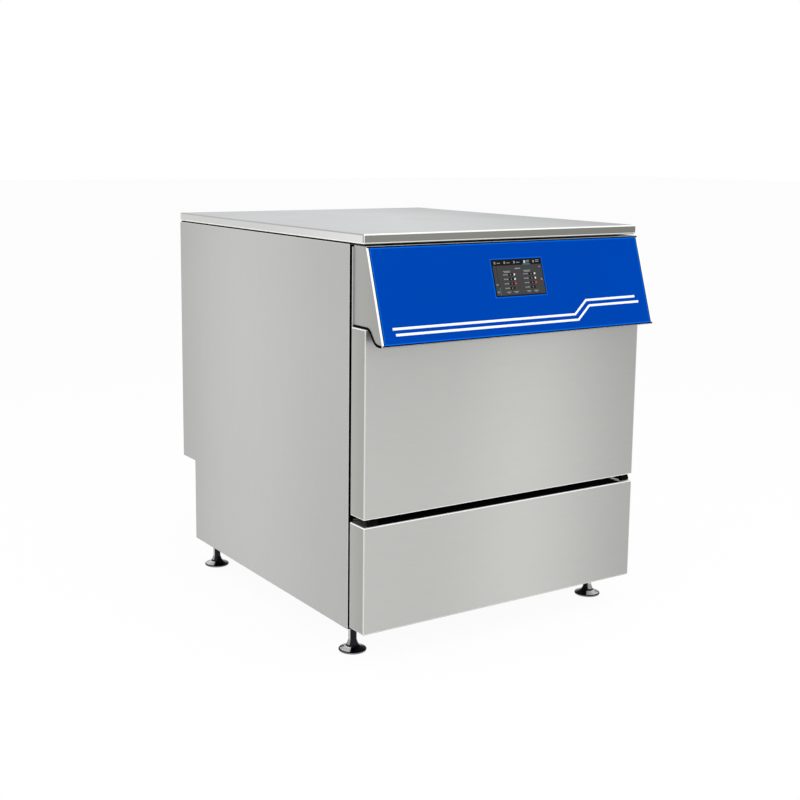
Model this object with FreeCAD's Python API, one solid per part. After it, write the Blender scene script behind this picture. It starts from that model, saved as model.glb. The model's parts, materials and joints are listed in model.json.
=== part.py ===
import FreeCAD, Part
import math
import os

vec = FreeCAD.Vector

# overall sizes, millimetres
unit_width = 660.0
unit_depth = 838.0
unit_height = 798.0
body_inset = 3.0
console_inset = 5.0

# depths of the front, measured back from the lip of the console
lip_reach = 47.0
door_thick = 49.0
seal_gap = 11.0
notch_depth = 63.0

# heights above the floor
panel_bottom_z = 55.0
kick_bottom_z = 63.0
kick_top_z = 267.0
door_bottom_z = 281.0
notch_z = 237.4
lid_thick = 18.0
lid_gap = 2.5

# console
console_height = 146.5
lip_drop = 26.0
slant_run = 55.6
cove_turn = 52.0
cove_top_radius = 15.0
cove_low_radius = 22.0
fascia_edge = 5.5
fascia_thick = 3.0
screen_x0 = -57.5
screen_x1 = 64.0
screen_s0 = 35.0
screen_s1 = 106.5

# sheet and frame sections
sheet = 2.0
rim_round = 2.0
tube = 30.0
rail_wide = 40.0
frame_bottom_z = 57.0

# wash tub
side_space = 65.0
head_space = 45.5
tub_floor_z = 296.0
tub_rear_space = 86.0
tub_radius = 20.0
sump_set = 292.0
sump_radius = 88.0
riser_space = 20.0
bearer_space = 50.0

# hinge line of the door, from the door front and the floor
hinge_back = 4.0
hinge_z = 274.0
pin_radius = 3.0
knuckle_radius = 5.5
run_gap = 0.05
lock_slot = 14.0
lock_set = 40.0

# racks
rack_space = 25.0
rack_front_gap = 30.0
rack_rear_gap = 38.0
rail_top_z = 323.0
wheel_radius = 12.0
axle_radius = 3.0
axle_front_set = 100.0
axle_rear_set = 52.0
rack_floor_z = 351.0
upper_rail_share = 0.5207

# feet
foot_inset = 27.0
foot_front_inset = 26.0
foot_rear_inset = 46.0
foot_radius = 27.0
stem_radius = 8.0
stem_top_z = 80.0

# lower compartment
pump_z = 165.0
sump_end_z = 212.0
service_z = 200.0
inlet_z = 160.0

# sizes that follow from the values above
body_width = unit_width - 2 * body_inset
console_width = unit_width - 2 * console_inset
lip_y = -unit_depth / 2
door_y = lip_y + lip_reach
door_back_y = door_y + door_thick
cabinet_y = door_back_y + seal_gap
rear_y = unit_depth / 2
notch_y = rear_y - notch_depth
lid_z = unit_height - lid_thick
panel_top_z = lid_z - lid_gap
inner_x = body_width / 2 - sheet
frame_y = cabinet_y + sheet
frame_rear_y = notch_y - sheet
tub_rear_y = notch_y - tub_rear_space
sump_y = cabinet_y + sump_set
riser_y = tub_rear_y - riser_space
riser_joint_z = tub_floor_z - 28.0
service_y = riser_y - bearer_space
crossing_y = sump_y + 80.0
drain_y = sump_y + 50.0
rack_front_y = cabinet_y + rack_front_gap
rack_rear_y = tub_rear_y - rack_rear_gap
axle_front_y = rack_front_y + axle_front_set
axle_rear_y = rack_rear_y - axle_rear_set
foot_front_y = frame_y + foot_front_inset
foot_rear_y = frame_rear_y - foot_rear_inset
frame_top_z = panel_top_z - sheet
rail_top = frame_bottom_z + tube
upright_x = inner_x - tube
rear_panel_y = rear_y - 3.0
console_top_z = panel_top_z - 1.0
console_z = console_top_z - console_height
lip_z = console_z - lip_drop
tub_top_z = frame_top_z - head_space
tub_half = inner_x - side_space
rack_half = tub_half - rack_space
foot_x = inner_x - foot_inset
upper_rail_z = tub_floor_z + upper_rail_share * (tub_top_z - tub_floor_z)
pipe_z = tub_top_z - 20.0
upper_arm_z = pipe_z - 42.0
hinge_y = door_y + hinge_back
axle_z = rail_top_z + 0.2 + wheel_radius
slant_drop = console_top_z - lip_z
slant_top_y = lip_y + slant_run
slant_length = math.hypot(slant_run, slant_drop)
slant_turn = math.degrees(math.atan2(slant_run, slant_drop))
lock_y = frame_y + lock_set
blower_x = 120.0 - tub_half
lock_z = frame_top_z - 19.5
shelf_top_z = notch_z + 8.6
shelf_y = tub_rear_y + 30.0

x_dir = vec(1, 0, 0)
y_dir = vec(0, 1, 0)
z_dir = vec(0, 0, 1)


def block(x0, x1, y0, y1, z0, z1):
    return Part.makeBox(x1 - x0, y1 - y0, z1 - z0, vec(x0, y0, z0))


def round_bar(radius, start, axis, length):
    return Part.makeCylinder(radius, length, vec(*start), axis)


def sided_bar(radius, start, axis, length, sides=12):
    # straight bar with flats, for pieces that nothing turns in
    points = []
    for index in range(sides):
        turn = 2 * math.pi * (index + 0.5) / sides
        points.append(vec(radius * math.cos(turn), radius * math.sin(turn), 0))
    bar = Part.Face(Part.makePolygon(points + points[:1])).extrude(vec(0, 0, length))
    bar.Placement = FreeCAD.Placement(vec(*start), FreeCAD.Rotation(z_dir, axis))
    return bar


def sided_cone(low, high, z0, z1, sides):
    # frustum with flat sides, turned like sided_bar
    rings = []
    for radius, z in ((low, z0), (high, z1)):
        turns = [2 * math.pi * (index + 0.5) / sides for index in range(sides)]
        rings.append([vec(radius * math.cos(turn), radius * math.sin(turn), z) for turn in turns])
    loops = rings[:]
    for index in range(sides):
        after = (index + 1) % sides
        loops.append([rings[0][index], rings[0][after], rings[1][after], rings[1][index]])
    faces = [Part.Face(Part.makePolygon(loop + loop[:1])) for loop in loops]
    return Part.Solid(Part.Shell(faces))


def joined(shapes):
    return shapes[0].multiFuse(shapes[1:]).removeSplitter()


def mirrored(shape):
    return shape.mirror(vec(0, 0, 0), x_dir)


def both_sides(shape):
    return [shape, mirrored(shape)]


def edges_along(shape, axis):
    found = []
    for edge in shape.Edges:
        line = edge.Vertexes[-1].Point - edge.Vertexes[0].Point
        if line.Length > 0 and abs(line.normalize().dot(axis)) > 0.999:
            found.append(edge)
    return found


def rounded_block(x0, x1, y0, y1, z0, z1, axis, radius):
    body = block(x0, x1, y0, y1, z0, z1)
    return body.makeFillet(radius, edges_along(body, axis))


def prism(points, direction):
    # closed outline of (x, y, z) points pushed along a direction
    outline = [vec(*p) for p in points]
    return Part.Face(Part.makePolygon(outline + outline[:1])).extrude(direction)


def tube_run(points, radius, sides=8, bend=14.0):
    # tube along a path whose right-angle corners are cut off at 45 degrees
    corners = [vec(*p) for p in points]
    path = [corners[0]]
    for index in range(1, len(corners) - 1):
        corner = corners[index]
        for other in (corners[index - 1], corners[index + 1]):
            path.append(corner + (other - corner).normalize() * bend)
    path.append(corners[-1])
    ahead = (path[1] - path[0]).normalize()
    across = y_dir if abs(ahead.dot(y_dir)) < 0.9 else x_dir
    upward = ahead.cross(across)
    ring = []
    for index in range(sides):
        turn = 2 * math.pi * (index + 0.5) / sides
        ring.append(path[0] + across * radius * math.cos(turn) + upward * radius * math.sin(turn))
    spine = Part.makePolygon(path)
    return spine.makePipeShell([Part.makePolygon(ring + ring[:1])], True, False, 1)


def on_slant(x0, x1, s0, s1, d0, d1):
    # block on the sloping console front: s runs down the slope, d goes in from its surface
    body = block(x0, x1, s0, s1, d0, d1)
    body.rotate(vec(0, 0, 0), x_dir, -(90 + slant_turn))
    body.translate(vec(0, slant_top_y, console_top_z))
    return body


def build_frame():
    # welded from straight lengths, each a solid of its own, face to face with its neighbours
    rail_x = inner_x - rail_wide
    front = frame_y + tube
    rear = frame_rear_y - tube
    bearer_z = tub_floor_z - sheet
    rail = block(rail_x, inner_x, frame_y, frame_rear_y, frame_bottom_z, rail_top)
    for y in (foot_front_y, foot_rear_y):
        rail = rail.cut(round_bar(stem_radius + run_gap, (foot_x, y, frame_bottom_z - 1), z_dir, tube))
    side = [
        rail,
        block(upright_x, inner_x, frame_y, front, rail_top, frame_top_z - tube),
        block(upright_x, inner_x, rear, frame_rear_y, rail_top, frame_top_z - tube),
        block(upright_x, inner_x, front, rear, bearer_z - tube, bearer_z),
        block(upright_x, inner_x, frame_y, rear_panel_y - sheet, frame_top_z - tube, frame_top_z),
        block(lock_slot, upright_x, frame_y, front, frame_top_z - 28, frame_top_z),
    ]
    bars = side + [mirrored(bar) for bar in side]
    for y0 in (frame_y, rear):
        bars.append(block(-rail_x, rail_x, y0, y0 + tube, frame_bottom_z, rail_top))
    for y0 in (frame_y, service_y):
        bars.append(block(-upright_x, upright_x, y0, y0 + tube, bearer_z - tube, bearer_z))
    bars.append(block(-lock_slot, lock_slot, frame_y, front, lock_z + 15, frame_top_z))
    bars.append(block(-upright_x, upright_x, rear, frame_rear_y, frame_top_z - 28, frame_top_z))
    bars.append(block(-rail_x, rail_x, front, rear, rail_top - sheet, rail_top))
    bars.append(block(-upright_x, upright_x, shelf_y, rear_panel_y - sheet, shelf_top_z - 4, shelf_top_z))
    return Part.makeCompound(bars)


def build_side_panel():
    outline = [
        (inner_x, cabinet_y, panel_bottom_z),
        (inner_x, notch_y, panel_bottom_z),
        (inner_x, notch_y, notch_z),
        (inner_x, rear_y, notch_z),
        (inner_x, rear_y, panel_top_z),
        (inner_x, cabinet_y, panel_top_z),
    ]
    skin = prism(outline, vec(sheet, 0, 0))
    edge = inner_x + sheet
    front = block(edge - tube, edge, cabinet_y, frame_y, panel_bottom_z, panel_top_z)
    front = front.cut(block(edge - tube, edge - 9, cabinet_y, frame_y, kick_top_z + 0.5, door_bottom_z))
    top = block(edge - 22, edge, cabinet_y, rear_panel_y - sheet, frame_top_z, panel_top_z)
    return joined([skin, front, top])


def build_rear_panels():
    upper = joined([
        block(-inner_x, inner_x, rear_panel_y - sheet, rear_panel_y, notch_z, panel_top_z),
        block(-inner_x, inner_x, frame_rear_y, rear_panel_y, notch_z, notch_z + sheet),
    ])
    slots = []
    for column in (-tub_half * 0.58, tub_half * 0.58):
        for row in range(7):
            z = panel_top_z - 74 - 24 * row
            slots.append(block(column - 60, column + 60, rear_panel_y - 5, rear_panel_y + 5, z, z + 7))
    upper = upper.cut(Part.makeCompound(slots))
    lower = block(-inner_x, inner_x, frame_rear_y, notch_y, panel_bottom_z, notch_z)
    return upper, lower


def build_lid():
    edge = body_width / 2
    front = door_y + 13.3
    outer = block(-edge, edge, front, rear_y - 1, lid_z, unit_height)
    rim = [e for e in outer.Edges if min(v.Z for v in e.Vertexes) > unit_height - 0.1]
    outer = outer.makeFillet(2.5, rim)
    pocket = block(-edge + 3, edge - 3, front + 3, rear_y - 4, lid_z + sheet, unit_height - 3)
    window = block(-edge + 24, edge - 24, front + 24, rear_y - 25, lid_z, lid_z + sheet)
    return outer.cut(pocket).cut(window)


def build_lid_pads():
    pads = []
    for x in (11 - inner_x, inner_x - 11):
        for y in (frame_y + 60, 30, frame_rear_y - 24):
            pads.append(block(x - 7, x + 7, y - 7, y + 7, panel_top_z, lid_z))
    return Part.makeCompound(pads)


def build_tray(z0, z1, back_y):
    # folded front panel: skin, four returns and an inward flange behind
    half = unit_width / 2
    outer = block(-half, half, door_y, back_y, z0, z1)
    rim = [e for e in outer.Edges if max(v.Y for v in e.Vertexes) < door_y + 0.1]
    outer = outer.makeFillet(rim_round, rim)
    pocket = block(-half + sheet, half - sheet, door_y + sheet, back_y - sheet, z0 + sheet, z1 - sheet)
    window = block(-half + 16, half - 16, back_y - sheet, back_y, z0 + 16, z1 - 16)
    return outer.cut(pocket).cut(window)


def build_kick_panel():
    tray = build_tray(kick_bottom_z, kick_top_z, door_back_y)
    seats = []
    for x in (13 - inner_x, inner_x - 13):
        for z in (kick_bottom_z + 30, kick_top_z - 40):
            seats.append(block(x - 12, x + 12, door_back_y - sheet, cabinet_y, z, z + 14))
    return joined([tray] + seats)


def build_door_liner():
    half = unit_width / 2 - sheet
    back = door_back_y
    wide = rack_half + 1
    low_z = door_bottom_z + 159
    high_z = tub_top_z - 30
    panel = block(-half, half, back - sheet, back, door_bottom_z + 2, console_top_z - 2.5)
    emboss = rounded_block(-wide, wide, back - sheet, back + 7, low_z, high_z, y_dir, 18)
    hollow = rounded_block(2 - wide, wide - 2, back - sheet, back + 5, low_z + 2, high_z - 2, y_dir, 16)
    tracks = []
    for x in (13 - tub_half, tub_half - 13):
        tracks.append(block(x - 8, x + 8, back - sheet, back + 3.5, door_bottom_z + 21, low_z - 8))
    return joined([panel, emboss] + tracks).cut(hollow)


def build_door_filling():
    half = unit_width / 2 - 3
    return block(-half, half, door_y + sheet, door_back_y - 2 * sheet, door_bottom_z + 3, console_z - 3)


def build_console():
    half = console_width / 2
    back = door_back_y - sheet
    turn = math.radians(cove_turn)
    # underside: flat, a convex turn down, a straight run and a hollow turn to the lip
    start = vec(-half, door_y + rim_round, console_z)
    top_end = start - vec(0, cove_top_radius * math.sin(turn), cove_top_radius * (1 - math.cos(turn)))
    top_mid = start - vec(0, cove_top_radius * math.sin(turn / 2), cove_top_radius * (1 - math.cos(turn / 2)))
    low_z = lip_z + cove_low_radius * (1 - math.cos(turn))
    run = (top_end.z - low_z) / math.tan(turn)
    low_start = vec(-half, top_end.y - run, low_z)
    lip = vec(-half, low_start.y - cove_low_radius * math.sin(turn), lip_z)
    low_mid = lip + vec(0, cove_low_radius * math.sin(turn / 2), cove_low_radius * (1 - math.cos(turn / 2)))
    a = vec(-half, slant_top_y, console_top_z)
    b = vec(-half, lip_y, lip_z)
    e = vec(-half, back, console_z)
    f = vec(-half, back, console_top_z)
    edges = [Part.makeLine(a, b), Part.makeLine(b, lip), Part.Arc(lip, low_mid, low_start).toShape()]
    edges += [Part.makeLine(low_start, top_end), Part.Arc(top_end, top_mid, start).toShape()]
    edges += [Part.makeLine(start, e), Part.makeLine(e, f), Part.makeLine(f, a)]
    body = Part.Face(Part.Wire(edges)).extrude(vec(console_width, 0, 0))
    inner = half - 3
    hollow = [
        (-inner, slant_top_y + 6, console_top_z - 3.5),
        (-inner, slant_top_y + 6 - slant_run * 0.8, console_z + 3),
        (-inner, back, console_z + 3),
        (-inner, back, console_top_z - 3.5),
    ]
    body = body.cut(prism(hollow, vec(2 * inner, 0, 0)))
    wide = half - fascia_edge
    body = body.cut(on_slant(-wide, wide, 2.5, slant_length - 2.5, -1, fascia_thick))
    return body.cut(on_slant(screen_x0 - 0.3, screen_x1 + 0.3, screen_s0 - 0.3, screen_s1 + 0.3, 0, 20))


def build_fascia():
    wide = console_width / 2 - fascia_edge - 0.2
    plate = on_slant(-wide, wide, 2.7, slant_length - 2.7, 0, fascia_thick)
    return plate.cut(on_slant(screen_x0, screen_x1, screen_s0, screen_s1, -1, 9))


def build_screen():
    return on_slant(screen_x0, screen_x1, screen_s0, screen_s1, -0.8, 12)


def build_board():
    plate = on_slant(screen_x0 - 25, screen_x1 + 30, screen_s0 - 8, screen_s1 + 8, 12, 14)
    chips = []
    for index in range(4):
        x = screen_x0 + 6 + 32 * index
        chips.append(on_slant(x, x + 18, 48, 66, 14, 17))
    return joined([plate] + chips)


def build_striker():
    back = door_back_y
    plate = block(-20, 20, back, back + 3, lock_z - 12, lock_z + 14)
    tongue = block(-6, 6, back + 2, lock_y + 9, lock_z - 4, lock_z + 4)
    eye = round_bar(2.6, (-10, lock_y, lock_z), x_dir, 20)
    return joined([plate, tongue]).cut(eye)


def build_lock():
    front = frame_y + tube
    body = block(-30, 54, front, lock_y + 28, lock_z - 12, lock_z + 18)
    body = body.cut(block(-8, 8, front, lock_y + 16, lock_z - 8, lock_z + 15))
    body = body.cut(round_bar(2.2 + run_gap, (-22, lock_y, lock_z), x_dir, 66))
    return body, round_bar(2.2, (10, lock_y, lock_z), x_dir, 30)


def build_hinges():
    wide = 12.0
    x0 = inner_x - 24.0
    arm_x = x0 + wide + 0.3
    plate = block(x0 - 2.5, x0 + wide + 2.5, cabinet_y - 1, frame_y, kick_top_z + 1.5, door_bottom_z - 1)
    tongue = block(x0, x0 + wide, hinge_y, frame_y, hinge_z - 3, hinge_z + 3)
    knuckle = sided_bar(knuckle_radius, (x0, hinge_y, hinge_z), x_dir, wide)
    bore = round_bar(pin_radius, (x0 - 20, hinge_y, hinge_z), x_dir, 60)
    bracket = joined([plate, tongue, knuckle]).cut(bore)
    barrel = sided_bar(knuckle_radius, (arm_x, hinge_y, hinge_z), x_dir, 6.2)
    web = block(arm_x, arm_x + 6.2, hinge_y - 3, hinge_y + knuckle_radius, hinge_z, door_bottom_z)
    leaf = block(arm_x, arm_x + 6.2, hinge_y - 3, hinge_y + 33, door_bottom_z - sheet, door_bottom_z)
    free = round_bar(pin_radius + run_gap, (arm_x - 1, hinge_y, hinge_z), x_dir, 9)
    arm = joined([barrel, web, leaf]).cut(free)
    pin = round_bar(pin_radius, (x0 - 1, hinge_y, hinge_z), x_dir, wide + 8)
    return [Part.makeCompound(both_sides(piece)) for piece in (bracket, arm, pin)]


def build_gasket():
    wide = tub_half + 1
    outer = rounded_block(-wide - 12, wide + 12, door_back_y + 0.2, cabinet_y, tub_floor_z - 12.5,
                          tub_top_z + 13, y_dir, 30)
    inner = rounded_block(-wide, wide, door_back_y, cabinet_y + 1, tub_floor_z - 0.5,
                          tub_top_z + 1, y_dir, 20)
    return outer.cut(inner)


def build_tub():
    x = tub_half
    wall = sheet
    outer = rounded_block(-x - wall, x + wall, cabinet_y, tub_rear_y + wall, tub_floor_z - wall,
                          tub_top_z + wall, y_dir, tub_radius + wall)
    flange = block(-upright_x - 1, upright_x + 1, cabinet_y, frame_y, door_bottom_z + 2, frame_top_z - 1)
    inner = rounded_block(-x, x, cabinet_y - 1, tub_rear_y, tub_floor_z, tub_top_z, y_dir, tub_radius)
    tub = joined([outer, flange]).cut(inner)
    tub = tub.cut(sided_bar(sump_radius, (0, sump_y, tub_floor_z - 5), z_dir, 10, 24))
    tub = tub.cut(sided_bar(10.1, (0, riser_y, tub_floor_z - 5), z_dir, 10, 8))
    return tub.cut(block(-lock_slot, lock_slot, cabinet_y - 1, frame_y + 1, lock_z - 8, lock_z + 15))


def build_sump():
    rim = tub_floor_z - sheet
    deep = rim - 61
    slope = 39.0 / 58.0
    flange = sided_bar(sump_radius + 16, (0, 0, rim - 3), z_dir, 3, 24)
    bowl = joined([sided_cone(53, 53 + slope * 58, deep, deep + 58, 24), flange])
    bowl = bowl.cut(sided_cone(50, 50 + slope * 59, deep + 3, rim + 1, 24))
    bowl.translate(vec(0, sump_y, 0))
    outlets = []
    for x, radius in ((-32, 14), (34, 10)):
        outlets.append(sided_bar(radius, (x, sump_y, sump_end_z), z_dir, deep - sump_end_z + 1))
    bowl = joined([bowl] + outlets)
    for x, radius in ((-32, 10), (34, 7)):
        bowl = bowl.cut(sided_bar(radius, (x, sump_y, sump_end_z - 1), z_dir, 40, 8))
    return bowl.cut(sided_bar(12.05 / math.cos(math.pi / 8), (0, sump_y, deep - 3), z_dir, 10, 8))


def build_filter():
    rim = tub_floor_z - sheet
    plate = sided_bar(sump_radius - 0.3, (0, sump_y, rim), z_dir, sheet, 24)
    slots = [sided_bar(14.0, (0, sump_y, rim - 1), z_dir, 5)]
    for index in range(12):
        slot = block(26, 76, sump_y - 3.5, sump_y + 3.5, rim - 1, rim + 4)
        slot.rotate(vec(0, sump_y, rim), z_dir, 30 * index + 15)
        slots.append(slot)
    return plate.cut(Part.makeCompound(slots))


def build_heater():
    z = tub_floor_z + 7
    wide = tub_half - 75
    front = rack_front_y + 42
    back = tub_rear_y - 65
    path = [(-40, tub_rear_y, z), (-40, back, z), (-wide, back, z), (-wide, front, z)]
    path += [(wide, front, z), (wide, back, z), (40, back, z), (40, tub_rear_y, z)]
    element = tube_run(path, 4, 6, 20)
    clips = []
    for x in (-wide, wide):
        for y in (front + 140, back - 85):
            clips.append(block(x - 6, x + 6, y - 5, y + 5, tub_floor_z, z + 2))
    return joined([element] + clips)


def spray_arm(z0, hub_radius, bore_radius, reach):
    # blade with two tapered wings about a round hub
    wing = [(0, -22, z0), (reach - 12, -14, z0), (reach, -8, z0), (reach, 8, z0), (reach - 12, 14, z0), (0, 22, z0)]
    right = prism(wing, vec(0, 0, 9))
    right = right.makeChamfer(2.0, [e for e in right.Edges if min(v.Z for v in e.Vertexes) > z0 + 8.9
                                    and min(v.X for v in e.Vertexes) >= 0 and e.Length > 12
                                    and max(v.X for v in e.Vertexes) > 1])
    hub = sided_bar(hub_radius, (0, 0, z0 - 4), z_dir, 17, 16)
    arm = joined([right, mirrored(right), hub])
    arm = arm.cut(round_bar(bore_radius, (0, 0, z0 - 5), z_dir, 20))
    arm.translate(vec(0, sump_y, 0))
    return arm


def build_lower_arm():
    z = tub_floor_z + 13
    pipe = tube_run([(0, sump_y, tub_floor_z + 4), (0, sump_y, service_z), (0, crossing_y, service_z)], 12, 8, 20)
    post = round_bar(12, (0, sump_y, tub_floor_z + 2), z_dir, 23)
    collar = sided_bar(17, (0, sump_y, tub_floor_z + 3.8), z_dir, 5)
    return spray_arm(z, 20, 12 + run_gap, tub_half - 38), joined([pipe, post, collar])


def build_upper_arm():
    path = [(0, riser_y, riser_joint_z), (0, riser_y, pipe_z), (0, sump_y, pipe_z), (0, sump_y, pipe_z - 22)]
    pipe = tube_run(path, 9, 8, 16)
    stem = round_bar(9, (0, sump_y, upper_arm_z - 8), z_dir, 30)
    foot = sided_bar(20, (0, riser_y, tub_floor_z), z_dir, 3)
    cap = sided_bar(15, (0, sump_y, upper_arm_z - 10.2), z_dir, 6)
    clamp = block(-14, 14, crossing_y, crossing_y + 20, pipe_z - 2, tub_top_z)
    back = block(-14, 14, riser_y, tub_rear_y, upper_rail_z - 42, upper_rail_z - 22)
    arm = spray_arm(upper_arm_z, 18, 9 + run_gap, tub_half - 45)
    return arm, joined([pipe, stem, foot, cap, clamp, back])


def grille(x0, x1, y0, y1, z0, z1, steps_x, steps_y, bar):
    # flat grille: crossed bars in a plate whose thin side lies along Z
    bars = []
    for index in range(steps_x + 1):
        x = x0 + (x1 - x0 - bar) * index / steps_x
        bars.append(block(x, x + bar, y0, y1, z0, z1))
    for index in range(steps_y + 1):
        y = y0 + (y1 - y0 - bar) * index / steps_y
        bars.append(block(x0, x1, y, y + bar, z0, z1))
    return bars


def basket_walls(half, z0, z1):
    # four upright grilles standing on the edge of the rack floor
    walls = []
    bar = 5.0
    long_side = rack_rear_y - rack_front_y
    for y in (rack_front_y, rack_rear_y - bar):
        bars = [block(-half, half, y, y + bar, z1 - bar, z1)]
        for index in range(5):
            x = -half + (2 * half - bar) * index / 4
            bars.append(block(x, x + bar, y, y + bar, z0, z1))
        walls.append(joined(bars))
    for x in (-half, half - bar):
        y0 = rack_front_y + bar
        bars = [block(x, x + bar, y0, rack_rear_y - bar, z1 - bar, z1)]
        for index in range(1, 5):
            y = rack_front_y + (long_side - bar) * index / 5
            bars.append(block(x, x + bar, y, y + bar, z0, z1))
        walls.append(joined(bars))
    return walls


def rack_handle(z0):
    y = rack_front_y
    ends = [block(x, x + 6, y, y + 5, z0, z0 + 26) for x in (-90, 84)]
    return joined(ends + [block(-90, 90, y, y + 5, z0 + 20, z0 + 26)])


def build_lower_rack():
    z = rack_floor_z
    bars = grille(-rack_half, rack_half, rack_front_y, rack_rear_y, z - 5, z, 4, 5, 5)
    for y in (axle_front_y, axle_rear_y):
        for x in (3 - rack_half, rack_half - 9):
            bars.append(block(x, x + 6, y - 8, y + 8, axle_z - 7, z))
    floor = joined(bars)
    for y in (axle_front_y, axle_rear_y):
        floor = floor.cut(round_bar(axle_radius + run_gap, (-rack_half, y, axle_z), x_dir, 2 * rack_half))
    top = z + 79
    return Part.makeCompound([floor, rack_handle(top)] + basket_walls(rack_half, z, top))


def build_axle(y):
    pieces = [round_bar(axle_radius, (8 - tub_half, y, axle_z), x_dir, 2 * tub_half - 16)]
    for x in (8 - tub_half, tub_half - 18):
        pieces.append(sided_bar(wheel_radius, (x, y, axle_z), x_dir, 10, 24))
    return joined(pieces)


def build_nozzles():
    header = 7.0
    z = rack_floor_z + header * math.cos(math.pi / 8)
    start = rack_front_y + 62
    length = rack_rear_y - 42 - start
    rows = []
    for x in (-120, 0, 120):
        pieces = [sided_bar(header, (x, start, z), y_dir, length, 8)]
        for row in range(4):
            y = start + 20 + (length - 50) * row / 3
            pieces.append(sided_bar(3, (x, y, z), z_dir, 118, 6))
        rows.append(joined(pieces))
    feed = sided_bar(header, (-127, start + length + header, z), x_dir, 254, 8)
    for row in rows:
        feed = feed.cut(row)
    return Part.makeCompound(rows + [feed])


def build_upper_rack():
    half = rack_half + 1
    z = upper_rail_z + 9
    bars = grille(-half, half, rack_front_y, rack_rear_y, z - 5, z, 4, 5, 5)
    for side in (-1, 1):
        for y in (rack_front_y + 32, (rack_front_y + rack_rear_y) / 2, rack_rear_y - 44):
            x0, x1 = sorted((side * (half - 1), side * (tub_half - 12)))
            bars.append(block(x0, x1, y, y + 12, z - 5, z))
    runner = block(tub_half - 12, tub_half - 6, rack_front_y, rack_rear_y, upper_rail_z + 0.2, z + 7)
    solids = [joined(bars), rack_handle(z + 69)] + both_sides(runner)
    return Part.makeCompound(solids + basket_walls(half, z, z + 69))


def build_rails():
    wall = tub_half
    front = cabinet_y + 14
    rear = tub_rear_y - 6
    lower = joined([
        block(wall - 22, wall, front, rear, rail_top_z - 3, rail_top_z),
        block(wall - 2, wall, front, rear, rail_top_z - 3, rail_top_z + 24),
    ])
    upper = joined([
        block(wall - 15, wall, front, rear, upper_rail_z - 3, upper_rail_z),
        block(wall - 2, wall, front, rear, upper_rail_z - 3, upper_rail_z + 22),
        block(wall - 10, wall, front, rear, upper_rail_z + 19, upper_rail_z + 22),
    ])
    return Part.makeCompound(both_sides(lower) + both_sides(upper))


def build_pump():
    y = sump_y
    body = joined([
        sided_bar(62, (-120, y, pump_z), x_dir, 50, 16),
        sided_bar(50, (-250, y, pump_z), x_dir, 132, 16),
        block(-235, -135, y - 30, y + 30, rail_top, pump_z - 20),
        sided_bar(18, (-72, y, pump_z), x_dir, 8),
        sided_bar(16, (-95, y, service_z), y_dir, 90),
    ])
    body = body.cut(sided_bar(55, (-114, y, pump_z), x_dir, 38, 16))
    body = body.cut(sided_bar(13, (-80, y, pump_z), x_dir, 20))
    body = body.cut(round_bar(6 + run_gap, (-160, y, pump_z), x_dir, 60))
    wheel = [sided_bar(50, (-108, y, pump_z), x_dir, 5, 16), sided_bar(13, (-108, y, pump_z), x_dir, 22, 8)]
    wheel.append(round_bar(6, (-155, y, pump_z), x_dir, 50))
    for index in range(6):
        blade = block(-104, -84, y - 2, y + 2, pump_z + 10, pump_z + 47)
        blade.rotate(vec(0, y, pump_z), x_dir, 60 * index)
        wheel.append(blade)
    return body, joined(wheel)


def build_drain_pump():
    return joined([
        sided_bar(32, (110, drain_y, 125), y_dir, 28, 16),
        sided_bar(26, (110, drain_y + 28, 125), y_dir, 50, 16),
        block(84, 136, drain_y + 6, drain_y + 70, rail_top, 115),
    ])


def build_hoses():
    y = sump_y
    end = sump_end_z
    wall = tub_rear_y + sheet
    low_x = 20 - tub_half
    high_x = tub_half - 50
    suction = tube_run([(-32, y, end), (-32, y, pump_z), (-64, y, pump_z)], 14)
    bend_y = crossing_y + 50
    pump_end = drain_y + 78
    feed = tube_run([(-95, y + 90, service_z), (-95, bend_y, service_z), (0, bend_y, service_z),
                     (0, crossing_y, service_z)], 12)
    riser = tube_run([(0, bend_y + 2, service_z), (0, riser_y, service_z), (0, riser_y, riser_joint_z)], 10)
    drain_in = tube_run([(34, y, end), (34, y, 125), (110, y, 125), (110, drain_y, 125)], 10)
    drain_out = sided_bar(10, (110, pump_end, 125), y_dir, frame_rear_y - pump_end, 8)
    filling = joined([
        tube_run([(-90, wall + 12, inlet_z), (low_x, wall + 12, inlet_z), (low_x, wall + 12, tub_top_z - 120)], 8),
        sided_bar(6, (low_x, wall, tub_top_z - 130), y_dir, 12, 8),
    ])
    steam = joined([
        tube_run([(high_x, frame_rear_y, 170), (high_x, wall + 13, 170), (high_x, wall + 13, tub_top_z - 80)], 10),
        sided_bar(8, (high_x, wall, tub_top_z - 90), y_dir, 13, 8),
    ])
    return Part.makeCompound([suction, joined([feed, riser]), drain_in, drain_out, filling, steam])


def build_valves():
    valves = []
    front = tub_rear_y + sheet + 12 + 8 * math.cos(math.pi / 8)
    for x in inlet_places():
        body = block(x - 18, x + 18, front, frame_rear_y, inlet_z - 22, inlet_z + 22)
        coil = sided_bar(14, (x, frame_rear_y - 28, inlet_z + 22), z_dir, 26)
        valves.append(joined([body, coil]))
    return Part.makeCompound(valves)


def inlet_places():
    return [20 - tub_half + 70 * index for index in range(3)]


def build_inlets():
    stubs = []
    for x in inlet_places():
        stub = joined([
            round_bar(13.2, (x, notch_y, inlet_z), y_dir, 34),
            sided_bar(20, (x, notch_y, inlet_z), y_dir, 5, 6),
        ])
        stubs.append(stub.cut(sided_bar(8.5, (x, notch_y + 8, inlet_z), y_dir, 40)))
    return Part.makeCompound(stubs)


def spigot(x, z, radius, length):
    body = joined([
        round_bar(radius, (x, notch_y, z), y_dir, length),
        sided_bar(radius + 9, (x, notch_y, z), y_dir, 4, 16),
    ])
    return body.cut(sided_bar(radius - 2.5, (x, notch_y + 6, z), y_dir, length, 16))


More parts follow.
